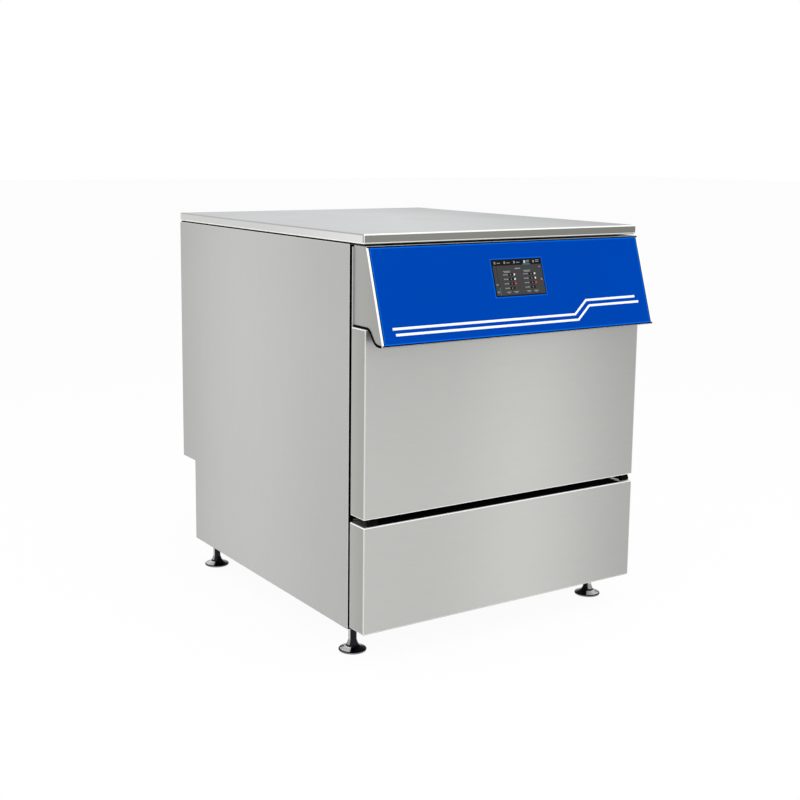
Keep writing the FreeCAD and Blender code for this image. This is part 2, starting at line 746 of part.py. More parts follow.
def build_gland():
    body = joined([
        sided_bar(14, (30, notch_y, 170), y_dir, 5, 6),
        sided_bar(11.5, (30, notch_y, 170), y_dir, 10, 12),
        sided_bar(13, (30, notch_y + 9, 170), y_dir, 15, 12),
    ])
    return body.cut(round_bar(6, (30, notch_y, 170), y_dir, 30))


def build_dosing():
    y = frame_y + 110
    pieces = [block(140, 300, y, y + 4, rail_top, 235), block(140, 300, y, y + 60, rail_top, rail_top + 4)]
    rotors = []
    for x in (180, 260):
        cup = sided_bar(34, (x, y - 36, inlet_z), y_dir, 36, 16)
        pieces.append(cup.cut(sided_bar(29, (x, y - 37, inlet_z), y_dir, 31, 16)))
        pieces.append(block(x - 22, x + 22, y + 3, y + 48, inlet_z - 22, inlet_z + 22))
        rotor = [sided_bar(9, (x, y - 32, inlet_z), y_dir, 24, 6), round_bar(4, (x, y - 32, inlet_z), y_dir, 40)]
        rotor.append(sided_bar(22, (x, y - 11, inlet_z), y_dir, 3, 16))
        for index in range(3):
            turn = math.radians(90 + 120 * index)
            px = x + 19 * math.cos(turn)
            pz = inlet_z + 19 * math.sin(turn)
            rotor.append(sided_bar(7, (px, y - 30, pz), y_dir, 20, 8))
        rotors.append(joined(rotor))
    body = joined(pieces)
    for x in (180, 260):
        body = body.cut(round_bar(4 + run_gap, (x, y - 10, inlet_z), y_dir, 26))
    return body, rotors[0], rotors[1]


def build_blower():
    x = blower_x
    y = shelf_y
    z = shelf_top_z + 106
    body = joined([
        sided_bar(80, (x, y, z), y_dir, 62, 16),
        block(x - 80, x - 10, y, y + 62, z, z + 98),
        sided_bar(42, (x, y + 62, z), y_dir, 44, 16),
        block(x - 60, x + 60, y + 6, y + 96, shelf_top_z, z - 50),
    ])
    body = body.cut(sided_bar(66, (x, y + 6, z), y_dir, 48, 16))
    body = body.cut(block(x - 74, x - 16, y + 6, y + 54, z + 20, z + 99))
    body = body.cut(round_bar(6 + run_gap, (x, y + 50, z), y_dir, 40))
    body = body.cut(sided_bar(34, (x, y - 1, z), y_dir, 10, 16))
    wheel = [sided_bar(60, (x, y + 46, z), y_dir, 4, 16), round_bar(6, (x, y + 40, z), y_dir, 44)]
    wheel.append(sided_bar(14, (x, y + 30, z), y_dir, 18, 8))
    for index in range(10):
        blade = block(x - 1.5, x + 1.5, y + 12, y + 47, z + 42, z + 58.5)
        blade.rotate(vec(x, 0, z), y_dir, 36 * index)
        wheel.append(blade)
    return body, joined(wheel)


def build_duct():
    x0 = blower_x - 80
    x1 = blower_x - 10
    low_z = shelf_top_z + 204
    high_z = low_z + 170
    wall = tub_rear_y + sheet
    outer = joined([
        block(x0, x1, shelf_y, shelf_y + 62, low_z, high_z),
        block(x0, x1, wall, shelf_y + 62, high_z - 60, high_z),
    ])
    inner = joined([
        block(x0 + 3, x1 - 3, shelf_y + 3, shelf_y + 59, low_z, high_z - 3),
        block(x0 + 3, x1 - 3, wall, shelf_y + 59, high_z - 57, high_z - 3),
    ])
    return outer.cut(inner)


def build_control_box():
    x0 = tub_half - 240
    y = shelf_y
    box = block(x0, x0 + 180, y, y + 105, shelf_top_z, shelf_top_z + 254)
    box = box.makeChamfer(4, edges_along(box, y_dir))
    ribs = []
    for index in range(6):
        z = shelf_top_z + 44 + 30 * index
        ribs.append(block(x0 + 20, x0 + 160, y + 104, y + 108, z, z + 10))
    return joined([box] + ribs)


def build_foot(x, y):
    pad = sided_bar(foot_radius, (0, 0, 0), z_dir, 5, 24)
    bell = sided_cone(foot_radius, 11, 5, 23, 24)
    foot = joined([pad, bell, round_bar(stem_radius, (0, 0, 1), z_dir, stem_top_z - 1)])
    foot.translate(vec(x, y, 0))
    return foot


def build_screws():
    screws = []
    edge = inner_x - 20
    for x in (-edge, -edge / 3, edge / 3, edge):
        for z in (panel_bottom_z + 20, notch_z - 10):
            screws.append(sided_bar(4.5, (x, notch_y, z), y_dir, 2.4, 6))
    for x in (-edge, edge):
        for index in range(4):
            z = notch_z + 62 + (panel_top_z - notch_z - 90) * index / 3
            screws.append(sided_bar(4.5, (x, rear_panel_y, z), y_dir, 2.4, 6))
    return Part.makeCompound(screws)


parts = {}
parts["base_frame"] = build_frame()
side_panel = build_side_panel()
parts["side_panel_right"] = side_panel
parts["side_panel_left"] = mirrored(side_panel)
parts["rear_panel_upper"], parts["rear_panel_lower"] = build_rear_panels()
parts["top_lid"] = build_lid()
parts["lid_pads"] = build_lid_pads()
parts["kick_panel"] = build_kick_panel()
parts["panel_screws"] = build_screws()
parts["foot_front_left"] = build_foot(-foot_x, foot_front_y)
parts["foot_front_right"] = build_foot(foot_x, foot_front_y)
parts["foot_rear_left"] = build_foot(-foot_x, foot_rear_y)
parts["foot_rear_right"] = build_foot(foot_x, foot_rear_y)
parts["door_skin"] = build_tray(door_bottom_z, console_z, door_back_y - sheet)
parts["door_liner"] = build_door_liner()
parts["door_insulation"] = build_door_filling()
parts["console_shell"] = build_console()
parts["fascia_panel"] = build_fascia()
parts["touch_screen"] = build_screen()
parts["control_board"] = build_board()
parts["door_striker"] = build_striker()
parts["lock_housing"], parts["lock_bolt"] = build_lock()
parts["hinge_brackets"], parts["hinge_arms"], parts["hinge_pins"] = build_hinges()
parts["door_gasket"] = build_gasket()
parts["wash_tub"] = build_tub()
parts["sump"] = build_sump()
parts["filter_plate"] = build_filter()
parts["heating_element"] = build_heater()
parts["lower_spray_arm"], parts["lower_arm_post"] = build_lower_arm()
parts["upper_spray_arm"], parts["riser_pipe"] = build_upper_arm()
parts["lower_rack"] = build_lower_rack()
parts["injector_tubes"] = build_nozzles()
parts["wheel_axle_front"] = build_axle(axle_front_y)
parts["wheel_axle_rear"] = build_axle(axle_rear_y)
parts["upper_rack"] = build_upper_rack()
parts["rack_rails"] = build_rails()
parts["circulation_pump"], parts["pump_impeller"] = build_pump()
parts["drain_pump"] = build_drain_pump()
parts["hoses"] = build_hoses()
parts["inlet_valves"] = build_valves()
parts["water_inlets"] = build_inlets()
parts["drain_outlet"] = spigot(110, 125, 10.5, 40)
parts["steam_outlet"] = spigot(tub_half - 50, 170, 19, 44)
parts["cable_gland"] = build_gland()
parts["dosing_pumps"], parts["dosing_rotor_left"], parts["dosing_rotor_right"] = build_dosing()
parts["blower_housing"], parts["blower_wheel"] = build_blower()
parts["air_duct"] = build_duct()
parts["control_box"] = build_control_box()

os.makedirs("parts", exist_ok=True)
for name, shape in parts.items():
    shape.exportStep("parts/" + name + ".step")
    size = shape.BoundBox
    print(name, shape.isValid(), len(shape.Solids), round(size.XMin, 1), round(size.XMax, 1),
          round(size.YMin, 1), round(size.YMax, 1), round(size.ZMin, 1), round(size.ZMax, 1))
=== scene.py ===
import bpy
import json
import math
from mathutils import Matrix, Vector


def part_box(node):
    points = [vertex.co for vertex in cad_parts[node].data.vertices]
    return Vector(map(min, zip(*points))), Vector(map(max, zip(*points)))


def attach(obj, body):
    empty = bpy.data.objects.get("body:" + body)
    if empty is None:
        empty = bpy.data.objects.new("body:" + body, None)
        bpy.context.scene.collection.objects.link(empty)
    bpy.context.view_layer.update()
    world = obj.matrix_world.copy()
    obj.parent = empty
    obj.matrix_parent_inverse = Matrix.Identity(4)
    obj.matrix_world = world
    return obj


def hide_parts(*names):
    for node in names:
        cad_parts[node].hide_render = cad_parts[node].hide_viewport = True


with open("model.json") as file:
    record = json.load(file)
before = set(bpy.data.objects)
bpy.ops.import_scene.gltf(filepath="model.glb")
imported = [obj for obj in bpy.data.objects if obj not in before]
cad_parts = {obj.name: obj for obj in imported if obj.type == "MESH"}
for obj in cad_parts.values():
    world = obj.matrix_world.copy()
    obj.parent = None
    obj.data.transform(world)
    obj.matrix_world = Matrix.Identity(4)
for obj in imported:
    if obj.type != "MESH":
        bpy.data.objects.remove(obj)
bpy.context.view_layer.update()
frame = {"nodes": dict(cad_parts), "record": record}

nodes = frame["nodes"]
scene = bpy.context.scene
print("frame loaded:", len(nodes), "nodes")


# general helpers

def tone(red, green, blue):
    # screen colour 0-255 to the linear colour a shader takes
    shares = [v / 255 for v in (red, green, blue)]
    return tuple(((v + 0.055) / 1.055) ** 2.4 if v > 10 / 255 else v / 12.92 for v in shares) + (1.0,)


def clearSelection():
    if bpy.context.object and bpy.context.object.mode != "OBJECT":
        bpy.ops.object.mode_set(mode="OBJECT")
    bpy.ops.object.select_all(action="DESELECT")


def onlySelect(piece):
    clearSelection()
    piece.select_set(True)
    bpy.context.view_layer.objects.active = piece


def applyPlace(piece):
    onlySelect(piece)
    bpy.ops.object.transform_apply(location=True, rotation=True, scale=True)


def newBlock(name, low, high):
    clearSelection()
    middle = [(a + b) / 2 for a, b in zip(low, high)]
    bpy.ops.mesh.primitive_cube_add(size=1, location=middle)
    piece = bpy.context.object
    piece.name = name
    piece.scale = [b - a for a, b in zip(low, high)]
    applyPlace(piece)
    return piece


def leaveEdit():
    bpy.ops.object.mode_set(mode="OBJECT")


def pickParts(piece, test, kind="FACE"):
    # edit mode with only the faces or edges that pass the test
    onlySelect(piece)
    bpy.ops.object.mode_set(mode="EDIT")
    bpy.ops.mesh.select_mode(type=kind)
    bpy.ops.mesh.select_all(action="DESELECT")
    leaveEdit()
    for part in piece.data.polygons if kind == "FACE" else piece.data.edges:
        part.select = test(part)
    bpy.ops.object.mode_set(mode="EDIT")


def pushParts(piece, test, move, inset=0.0, kind="FACE"):
    # the picked faces or edges are drawn out along a move, faces after an inset
    pickParts(piece, test, kind)
    if inset:
        bpy.ops.mesh.inset(thickness=inset)
    bpy.ops.mesh.extrude_region_move(TRANSFORM_OT_translate={"value": move})
    leaveEdit()


def turnedPiece(name, profile, place, axis="z", sides=48, smooth=32):
    # (radius, height) pairs in millimetres from foot to top, turned about an axis through place
    clearSelection()
    profile = [(wide / 1000, tall / 1000) for wide, tall in profile]
    (radius, low), rest = profile[0], profile[1:]
    bpy.ops.mesh.primitive_circle_add(vertices=sides, radius=radius, fill_type="NGON", location=(0, 0, low))
    piece = bpy.context.object
    piece.name = name
    bpy.ops.object.mode_set(mode="EDIT")
    bpy.ops.mesh.select_all(action="SELECT")
    for nextRadius, height in rest:
        bpy.ops.mesh.extrude_region_move(TRANSFORM_OT_translate={"value": (0, 0, height - low)})
        share = nextRadius / radius
        if abs(share - 1) > 1e-6:
            bpy.ops.transform.resize(value=(share, share, 1), center_override=(0, 0, height))
        radius, low = nextRadius, height
    bpy.ops.mesh.select_all(action="SELECT")
    bpy.ops.mesh.normals_make_consistent(inside=False)
    leaveEdit()
    turn, along = {"x": ((0, math.pi / 2, 0), (1, 0, 0)), "y": ((-math.pi / 2, 0, 0), (0, 1, 0)),
                   "z": ((0, 0, 0), (0, 0, 1))}[axis]
    piece.rotation_euler = turn
    piece.location = Vector(place) + Vector(along) * profile[0][1]
    applyPlace(piece)
    return smoothShade(piece, smooth)


def copyOf(piece, name, shift):
    made = piece.copy()
    made.data = piece.data.copy()
    made.name = name
    scene.collection.objects.link(made)
    made.location = shift
    applyPlace(made)
    return made


def roundedPath(points, bend, steps=5, closed=False):
    # corners of a wire or tube eased into short arcs
    corners = [Vector(p) for p in points]
    count = len(corners)
    made = []
    for index, corner in enumerate(corners):
        if not closed and index in (0, count - 1):
            made.append(corner)
            continue
        before, after = corners[index - 1], corners[(index + 1) % count]
        reach = min(bend, (before - corner).length * 0.48, (after - corner).length * 0.48)
        start = corner + (before - corner).normalized() * reach
        end = corner + (after - corner).normalized() * reach
        for step in range(steps + 1):
            t = step / steps
            made.append(start * (1 - t) ** 2 + corner * 2 * t * (1 - t) + end * t * t)
    return made


def bentTubes(name, paths, radius, closed=False, sides=3):
    # each path becomes one round tube; all of them are one piece
    data = bpy.data.curves.new(name, "CURVE")
    data.dimensions = "3D"
    for path in paths:
        line = data.splines.new("POLY")
        line.points.add(len(path) - 1)
        for point, place in zip(line.points, path):
            point.co = (*place, 1)
        line.use_cyclic_u = closed
    data.bevel_depth = radius
    data.bevel_resolution = sides
    data.use_fill_caps = not closed
    piece = bpy.data.objects.new(name, data)
    scene.collection.objects.link(piece)
    onlySelect(piece)
    bpy.ops.object.convert(target="MESH")
    return smoothShade(bpy.context.object, 50)


def cutAway(piece, cutter):
    onlySelect(piece)
    cut = piece.modifiers.new("cut", "BOOLEAN")
    cut.object = cutter
    cut.solver = "EXACT"
    bpy.ops.object.modifier_apply(modifier="cut")
    bpy.data.objects.remove(cutter)
    return piece


def paintFaces(piece, index, test):
    for face in piece.data.polygons:
        if test(face):
            face.material_index = index


flatLimit = 0.985


def onFold(face):
    # the faces of a rounded edge look along no axis
    return max(abs(v) for v in face.normal) < flatLimit


def roundEdges(piece, width, segments=3):
    onlySelect(piece)
    bevel = piece.modifiers.new("edges", "BEVEL")
    bevel.width = width
    bevel.segments = segments
    bevel.limit_method = "ANGLE"
    bevel.angle_limit = math.radians(35)
    bevel.miter_outer = "MITER_ARC"
    bevel.use_clamp_overlap = True
    bpy.ops.object.modifier_apply(modifier="edges")
    return steadyFlats(piece)


def smoothShade(piece, angle=32):
    onlySelect(piece)
    bpy.ops.object.shade_smooth_by_angle(angle=math.radians(angle))
    return piece


def steadyFlats(piece):
    # large flat faces keep their own normal, the narrow rounded edges blend into them
    smoothShade(piece, 50)
    flats = piece.modifiers.new("flats", "WEIGHTED_NORMAL")
    flats.weight = 100
    flats.keep_sharp = True
    bpy.ops.object.modifier_apply(modifier="flats")
    return piece


def joinPieces(name, pieces):
    clearSelection()
    for piece in pieces:
        piece.select_set(True)
    bpy.context.view_layer.objects.active = pieces[0]
    if len(pieces) > 1:
        bpy.ops.object.join()
    made = bpy.context.object
    made.name = name
    return made


def hasTornFace(mesh):
    # a flat face that runs round a hole can be filled across it
    mesh.calc_loop_triangles()
    filled = [0.0] * len(mesh.polygons)
    for triangle in mesh.loop_triangles:
        filled[triangle.polygon_index] += triangle.area
    return any(area > face.area * 1.02 + 1e-8 for area, face in zip(filled, mesh.polygons))


def cleanedCopy(name, node, width, segments=2):
    # copy of a solid with its triangles merged to clean faces and its edges rounded
    for merge in (True, False):
        clearSelection()
        piece = bpy.data.objects.new(name, nodes[node].data.copy())
        scene.collection.objects.link(piece)
        piece.data.materials.clear()
        onlySelect(piece)
        bpy.ops.object.mode_set(mode="EDIT")
        bpy.ops.mesh.select_all(action="SELECT")
        bpy.ops.mesh.customdata_custom_splitnormals_clear()
        bpy.ops.mesh.remove_doubles(threshold=0.00001)
        if merge:
            bpy.ops.mesh.dissolve_limited(angle_limit=math.radians(0.6))
        leaveEdit()
        if width:
            roundEdges(piece, width, segments)
        else:
            steadyFlats(piece)
        if not merge or not hasTornFace(piece.data):
            return piece
        bpy.data.objects.remove(piece)
    return piece


def finishPiece(piece, body, names, replaced=()):
    # names is one look, or several with a space between
    piece.data.materials.clear()
    for name in names.split():
        piece.data.materials.append(looks[name])
    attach(piece, body)
    if replaced:
        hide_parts(*replaced)
    return piece


def standIn(piece, node, names=""):
    # takes over the body of the solid that it replaces, and the look of that solid's slot if no other is
    # named
    return finishPiece(piece, bodyOf[node], names or slotLook(slotOf[node]), [node])


# materials

looks = {}


def newMaterial(name, color, metallic, roughness):
    material = bpy.data.materials.new(name)
    material.use_nodes = True
    material.diffuse_color = color
    looks[name] = material
    tree = material.node_tree
    shader = tree.nodes["Principled BSDF"]
    shader.inputs["Base Color"].default_value = color
    shader.inputs["Metallic"].default_value = metallic
    shader.inputs["Roughness"].default_value = roughness
    return tree, shader


def addNoise(tree, scale, detail, stretch=(1, 1, 1)):
    place = tree.nodes.new("ShaderNodeTexCoord")
    mapping = tree.nodes.new("ShaderNodeMapping")
    mapping.inputs["Scale"].default_value = stretch
    noise = tree.nodes.new("ShaderNodeTexNoise")
    noise.inputs["Scale"].default_value = scale
    noise.inputs["Detail"].default_value = detail
    tree.links.new(place.outputs["Object"], mapping.inputs["Vector"])
    tree.links.new(mapping.outputs["Vector"], noise.inputs["Vector"])
    return noise.outputs["Fac"]


def addRange(tree, source, low, high, fromLow=0.3, fromHigh=0.7):
    node = tree.nodes.new("ShaderNodeMapRange")
    node.inputs["From Min"].default_value = fromLow
    node.inputs["From Max"].default_value = fromHigh
    node.inputs["To Min"].default_value = low
    node.inputs["To Max"].default_value = high
    tree.links.new(source, node.inputs["Value"])
    return node.outputs["Result"]


def addShades(tree, source, dark, light):
    ramp = tree.nodes.new("ShaderNodeValToRGB")
    for stop, position, color in zip(ramp.color_ramp.elements, (0.3, 0.7), (dark, light)):
        stop.position = position
        stop.color = color
    tree.links.new(source, ramp.inputs["Fac"])
    return ramp.outputs["Color"]


def addBump(tree, shader, source, strength, distance):
    bump = tree.nodes.new("ShaderNodeBump")
    bump.inputs["Strength"].default_value = strength
    bump.inputs["Distance"].default_value = distance
    tree.links.new(source, bump.inputs["Height"])
    tree.links.new(bump.outputs["Normal"], shader.inputs["Normal"])


def multiplyColors(tree, first, second):
    mix = tree.nodes.new("ShaderNodeMix")
    mix.data_type = "RGBA"
    mix.blend_type = "MULTIPLY"
    mix.inputs["Factor"].default_value = 1.0
    tree.links.new(first, mix.inputs["A"])
    tree.links.new(second, mix.inputs["B"])
    return mix.outputs["Result"]


def scaled(color, factor):
    return tuple(c * factor for c in color[:3]) + (1.0,)


def addPaintedShading(tree, color, drift):
    # painted light and shade: slow change of brightness across a sheet that stands in for the fall of light
    # on it: axis, start, end and the brightness at even steps
    place = tree.nodes.new("ShaderNodeTexCoord")
    split = tree.nodes.new("ShaderNodeSeparateXYZ")
    tree.links.new(place.outputs["Object"], split.inputs["Vector"])
    for axis, start, end, steps in drift:
        share = addRange(tree, split.outputs[axis], 0.0, 1.0, start, end)
        ramp = tree.nodes.new("ShaderNodeValToRGB")
        ramp.color_ramp.interpolation = "B_SPLINE"
        stops = ramp.color_ramp.elements
        for index in range(1, len(steps) - 1):
            stops.new(index / (len(steps) - 1))
        for stop, value in zip(stops, steps):
            stop.color = (value, value, value, 1)
        tree.links.new(share, ramp.inputs["Fac"])
        color = multiplyColors(tree, color, ramp.outputs["Color"])
    return color


def brushedSteel(name, color, grain, rough=(0.34, 0.42), drift=()):
    # grain is the direction in which the fine lines run
    tree, shader = newMaterial(name, color, 0.85, sum(rough) / 2)
    cloud, line = 0.022, 0.045
    lines = addNoise(tree, 4.0, 3.0, [6 if axis == grain else 900 for axis in "xyz"])
    streaks = addNoise(tree, 3.0, 2.0, [1.2 if axis == grain else 26 for axis in "xyz"])
    smudge = addNoise(tree, 5.5, 5.0)
    white = (1, 1, 1, 1)
    base = addShades(tree, lines, scaled(color, 1 - line), scaled(color, 1 + line * 0.6))
    soft = addShades(tree, smudge, scaled(white, 1 - cloud), white)
    long = addShades(tree, streaks, scaled(white, 1 - cloud * 0.4), white)
    mixed = multiplyColors(tree, multiplyColors(tree, base, soft), long)
    tree.links.new(addPaintedShading(tree, mixed, drift), shader.inputs["Base Color"])
    tree.links.new(addRange(tree, smudge, *rough), shader.inputs["Roughness"])
    shader.inputs["Anisotropic"].default_value = 0.35
    addBump(tree, shader, lines, 0.08, 0.00006)


def plainSteel(name, color, rough, metallic=1.0, spread=0.06):
    tree, shader = newMaterial(name, color, metallic, rough)
    patch = addNoise(tree, 18.0, 5.0)
    shades = addShades(tree, patch, scaled(color, 1 - spread), scaled(color, 1 + spread * 0.5))
    tree.links.new(shades, shader.inputs["Base Color"])
    tree.links.new(addRange(tree, patch, rough - 0.05, rough + 0.08), shader.inputs["Roughness"])
    addBump(tree, shader, addNoise(tree, 900.0, 2.0), 0.06, 0.00006)


def moulded(name, color, rough, grain=1400.0, depth=0.12, spread=0.08):
    tree, shader = newMaterial(name, color, 0.0, rough)
    patch = addNoise(tree, 26.0, 4.0)
    shades = addShades(tree, patch, scaled(color, 1 - spread), scaled(color, 1 + spread))
    tree.links.new(shades, shader.inputs["Base Color"])
    tree.links.new(addRange(tree, patch, rough - 0.06, rough + 0.06), shader.inputs["Roughness"])
    addBump(tree, shader, addNoise(tree, grain, 2.0), depth, 0.0001)


def printedFilm(name, color, rough, spread=0.03, gloss=0.3):
    tree, shader = newMaterial(name, color, 0.0, rough)
    peel = addNoise(tree, 260.0, 2.0)
    shades = addShades(tree, addNoise(tree, 7.0, 3.0), scaled(color, 1 - spread), scaled(color, 1 + spread))
    tree.links.new(shades, shader.inputs["Base Color"])
    tree.links.new(addRange(tree, peel, rough - 0.03, rough + 0.05), shader.inputs["Roughness"])
    shader.inputs["Specular IOR Level"].default_value = gloss
    addBump(tree, shader, peel, 0.05, 0.00005)


def glowFilm(name, color, strength):
    tree, shader = newMaterial(name, color, 0.0, 0.35)
    shades = addShades(tree, addNoise(tree, 300.0, 1.0), scaled(color, 0.9), color)
    tree.links.new(shades, shader.inputs["Base Color"])
    shader.inputs["Emission Color"].default_value = color
    shader.inputs["Emission Strength"].default_value = strength


# painted light and shade: slow brightness ramps across each sheet, darker towards its edges and most towards
# the right-hand end, standing in for the fall of light
paintedSheetShading = {
    "front": (("X", -0.33, 0.33, (0.90, 0.87, 0.90, 1.0, 0.97, 0.82, 0.70)),
              ("Z", 0.06, 0.63, (1.02, 1.02, 1.0, 0.97, 0.9))),
    "side": (("Y", -0.312, 0.419, (0.88, 0.90, 0.97, 1.0, 1.0, 0.94, 0.81)),
             ("Z", 0.05, 0.78, (0.95, 0.96, 0.98, 1.0, 0.97))),
    "fold": (("Y", -0.372, -0.323, (0.84, 0.9, 1.0)),),
    "end": (("Y", -0.419, -0.325, (0.84, 0.94, 1.0)),),
    "lidFront": (("X", -0.33, 0.33, (1.0, 1.02, 0.98, 0.9, 0.82)),),
    "lidSide": (("Y", -0.36, 0.42, (1.0, 0.88, 0.8, 0.8, 0.8)),),
    "lid": (("X", -0.33, 0.33, (0.95, 1.0, 1.0, 1.0, 0.95, 0.83, 0.66)),
            ("Y", -0.36, 0.42, (0.9, 1.0, 1.0, 1.0, 0.94))),
}
# lit and shaded copies of one brushed steel: the lid's front face gets a painted darker copy, its side face
# a painted lighter copy, and the side returns of the door and lower panel a painted darker copy
sheetValues = {
    "doorSteel": ((205, 205, 202), "x", "front"), "sideSteel": ((200, 200, 199), "z", "side"),
    "foldSteel": ((182, 182, 177), "z", "fold"), "consoleSteel": ((176, 176, 173), "z", "end"),
    "lidSteel": ((194, 196, 197), "x", "lid"), "lidFrontSteel": ((139, 139, 133), "x", "lidFront"),
    "lidSideSteel": ((234, 234, 232), "y", "lidSide"),
}
# painted light: the fold and seam looks are painted highlights and painted shade lines for rounded edges,
# and the pale foot looks are painted reflections on the feet
steelValues = {
    "foldGleam": ((250, 250, 247), 0.34, 0.35, 0.02), "foldSoft": ((216, 216, 212), 0.3, 0.7, 0.03),
    "foldShade": ((120, 120, 116), 0.4, 0.7, 0.04), "seamShade": ((178, 178, 180), 0.35, 1.0, 0.03),
    "tubSteel": ((198, 200, 202), 0.3, 1.0, 0.03), "wireSteel": ((200, 202, 205), 0.2),
    "screwSteel": ((165, 165, 165), 0.32), "footChrome": ((150, 150, 152), 0.2, 1.0, 0.03),
    "zincSheet": ((172, 174, 175), 0.42), "frameZinc": ((140, 142, 145), 0.45, 1.0, 0.12),
    "heaterAlloy": ((120, 112, 104), 0.38, 1.0, 0.2), "turnedBrass": ((178, 152, 104), 0.27),
    "footBlack": ((36, 36, 40), 0.14, 1.0, 0.05), "footGleam": ((226, 224, 220), 0.35, 0.25, 0.03),
}
# the blackest of these looks is painted shade, used for strips in gaps and hollows
mouldedValues = {
    "blackRubber": ((24, 24, 25), 0.62), "sealBlack": ((5, 5, 6), 0.9), "housingBlack": ((38, 38, 41), 0.5),
    "hoseGrey": ((84, 84, 88), 0.55, 700.0, 0.3), "wheelWhite": ((226, 226, 220), 0.4),
    "boxGrey": ((206, 206, 202), 0.42, 900.0, 0.2), "boardGreen": ((24, 92, 56), 0.4),
    "woolGrey": ((170, 166, 150), 0.9, 200.0, 0.6, 0.2), "hingeSteel": ((6, 6, 7), 0.8),
}
# the lighter blue look is a painted highlight for the plate's edges
filmValues = {
    "fasciaBlue": ((0, 66, 170), 0.4, 0.02, 0.0), "fasciaEdge": ((6, 98, 216), 0.4, 0.02, 0.0),
    "screenBlack": ((20, 18, 17), 0.2, 0.03, 0.06), "screenGrey": ((62, 62, 63), 0.24, 0.03, 0.06),
    "markBlack": ((20, 20, 21), 0.24, 0.03, 0.06), "stripeWhite": ((246, 247, 250), 0.3),
}
glowValues = {
    "markWhite": ((200, 200, 202), 0.25), "markGrey": ((122, 122, 124), 0.15),
    "markTeal": ((0, 100, 108), 0.08), "markRed": ((216, 12, 2), 0.3),
}
for look, (color, grain, drift) in sheetValues.items():
    brushedSteel(look, tone(*color), grain, drift=paintedSheetShading[drift])
brushedSteel("linerSteel", tone(196, 198, 199), "x", (0.22, 0.34))
for maker, group in ((plainSteel, steelValues), (moulded, mouldedValues), (printedFilm, filmValues),
                     (glowFilm, glowValues)):
    for look, (color, *rest) in group.items():
        maker(look, tone(*color), *rest)
for look in ("sealBlack", "hingeSteel"):
    dull = looks[look].node_tree.nodes["Principled BSDF"]
    dull.inputs["Specular IOR Level"].default_value = 0.05

slotOf = {entry["node"]: entry["material_slot"] for entry in frame["record"]["subparts"]}
bodyOf = {node: body for body, members in frame["record"]["behaviour"]["bodies"].items() for node in members}


def camelName(words):
    first, *others = words.split("_")
    return first + "".join(word.title() for word in others)


def slotLook(slotName):
    # all slots but two share their name with a look
    return {"rear_zinc": "zincSheet", "brass": "turnedBrass"}.get(slotName) or camelName(slotName)


print("materials made")


# camera at the photograph's place

cameraValues = {"place": (-1.522, -2.258, 0.952), "yaw": 33.193, "pitch": 9.095, "roll": 0.581,
                "lens": 57.496, "shift": (0.01875, -0.0625)}


def makeCamera(values):
    yaw, pitch, roll = (math.radians(values[k]) for k in ("yaw", "pitch", "roll"))
    ahead = Vector((math.sin(yaw) * math.cos(pitch), math.cos(yaw) * math.cos(pitch), -math.sin(pitch)))
    right = Vector((math.cos(yaw), -math.sin(yaw), 0))
    up = right.cross(ahead)
    tiltedRight = right * math.cos(roll) + up * math.sin(roll)
    tiltedUp = up * math.cos(roll) - right * math.sin(roll)
    data = bpy.data.cameras.new("photoCamera")
    data.lens = values["lens"]
    data.sensor_width = 36
    data.shift_x, data.shift_y = values["shift"]
    data.clip_start = 0.05
    camera = bpy.data.objects.new("photoCamera", data)
    scene.collection.objects.link(camera)
    turn = Matrix((tiltedRight, tiltedUp, -ahead)).transposed()
    camera.matrix_world = Matrix.Translation(values["place"]) @ turn.to_4x4()
    scene.camera = camera


makeCamera(cameraValues)


# light, floor and background

lightValues = {"fill": 0.55, "lamps": (
    ("overheadLamp", (0.2, -0.3, 3.4), (0, 0, 0), 3.4, 46),
    ("leftLamp", (-3.4, -1.2, 1.9), (0, 0, 0.4), 2.4, 46),
    ("frontLamp", (1.0, -3.6, 1.8), (0, 0, 0.4), 2.4, 36),
)}


def addMath(tree, operation, first, second):
    node = tree.nodes.new("ShaderNodeMath")
    node.operation = operation
    tree.links.new(first, node.inputs[0])
    if isinstance(second, float):
        node.inputs[1].default_value = second
    else:
        tree.links.new(second, node.inputs[1])
    return node.outputs[0]


def mixInto(tree, outputType, share, first, second):
    mix = tree.nodes.new("ShaderNodeMixShader")
    for entry, source in zip(mix.inputs, (share, first, second)):
        tree.links.new(source, entry)
    output = next(n for n in tree.nodes if n.type == outputType)
    tree.links.new(mix.outputs[0], output.inputs["Surface"])


def makeLights(values):
    for name, place, target, size, power in values["lamps"]:
        data = bpy.data.lights.new(name, "AREA")
        data.shape = "SQUARE"
        data.size = size
        data.energy = power
        lamp = bpy.data.objects.new(name, data)
        scene.collection.objects.link(lamp)
        lamp.location = place
        lamp.rotation_euler = (Vector(target) - Vector(place)).to_track_quat("-Z", "Y").to_euler()
        lamp.visible_camera = False
        lamp.visible_glossy = False
    world = bpy.data.worlds.new("paleRoom")
    scene.world = world
    world.use_nodes = True
    tree = world.node_tree
    white = (1, 1, 1, 1)
    room = next(n for n in tree.nodes if n.type == "BACKGROUND")
    room.inputs["Color"].default_value = white
    room.inputs["Strength"].default_value = values["fill"]
    seen = tree.nodes.new("ShaderNodeBackground")
    seen.inputs["Color"].default_value = white
    seen.inputs["Strength"].default_value = 1.0
    path = tree.nodes.new("ShaderNodeLightPath").outputs
    either = addMath(tree, "MAXIMUM", path["Is Camera Ray"], path["Is Glossy Ray"])
    every = addMath(tree, "MAXIMUM", either, path["Is Transmission Ray"])
    mixInto(tree, "OUTPUT_WORLD", every, room.outputs[0], seen.outputs[0])


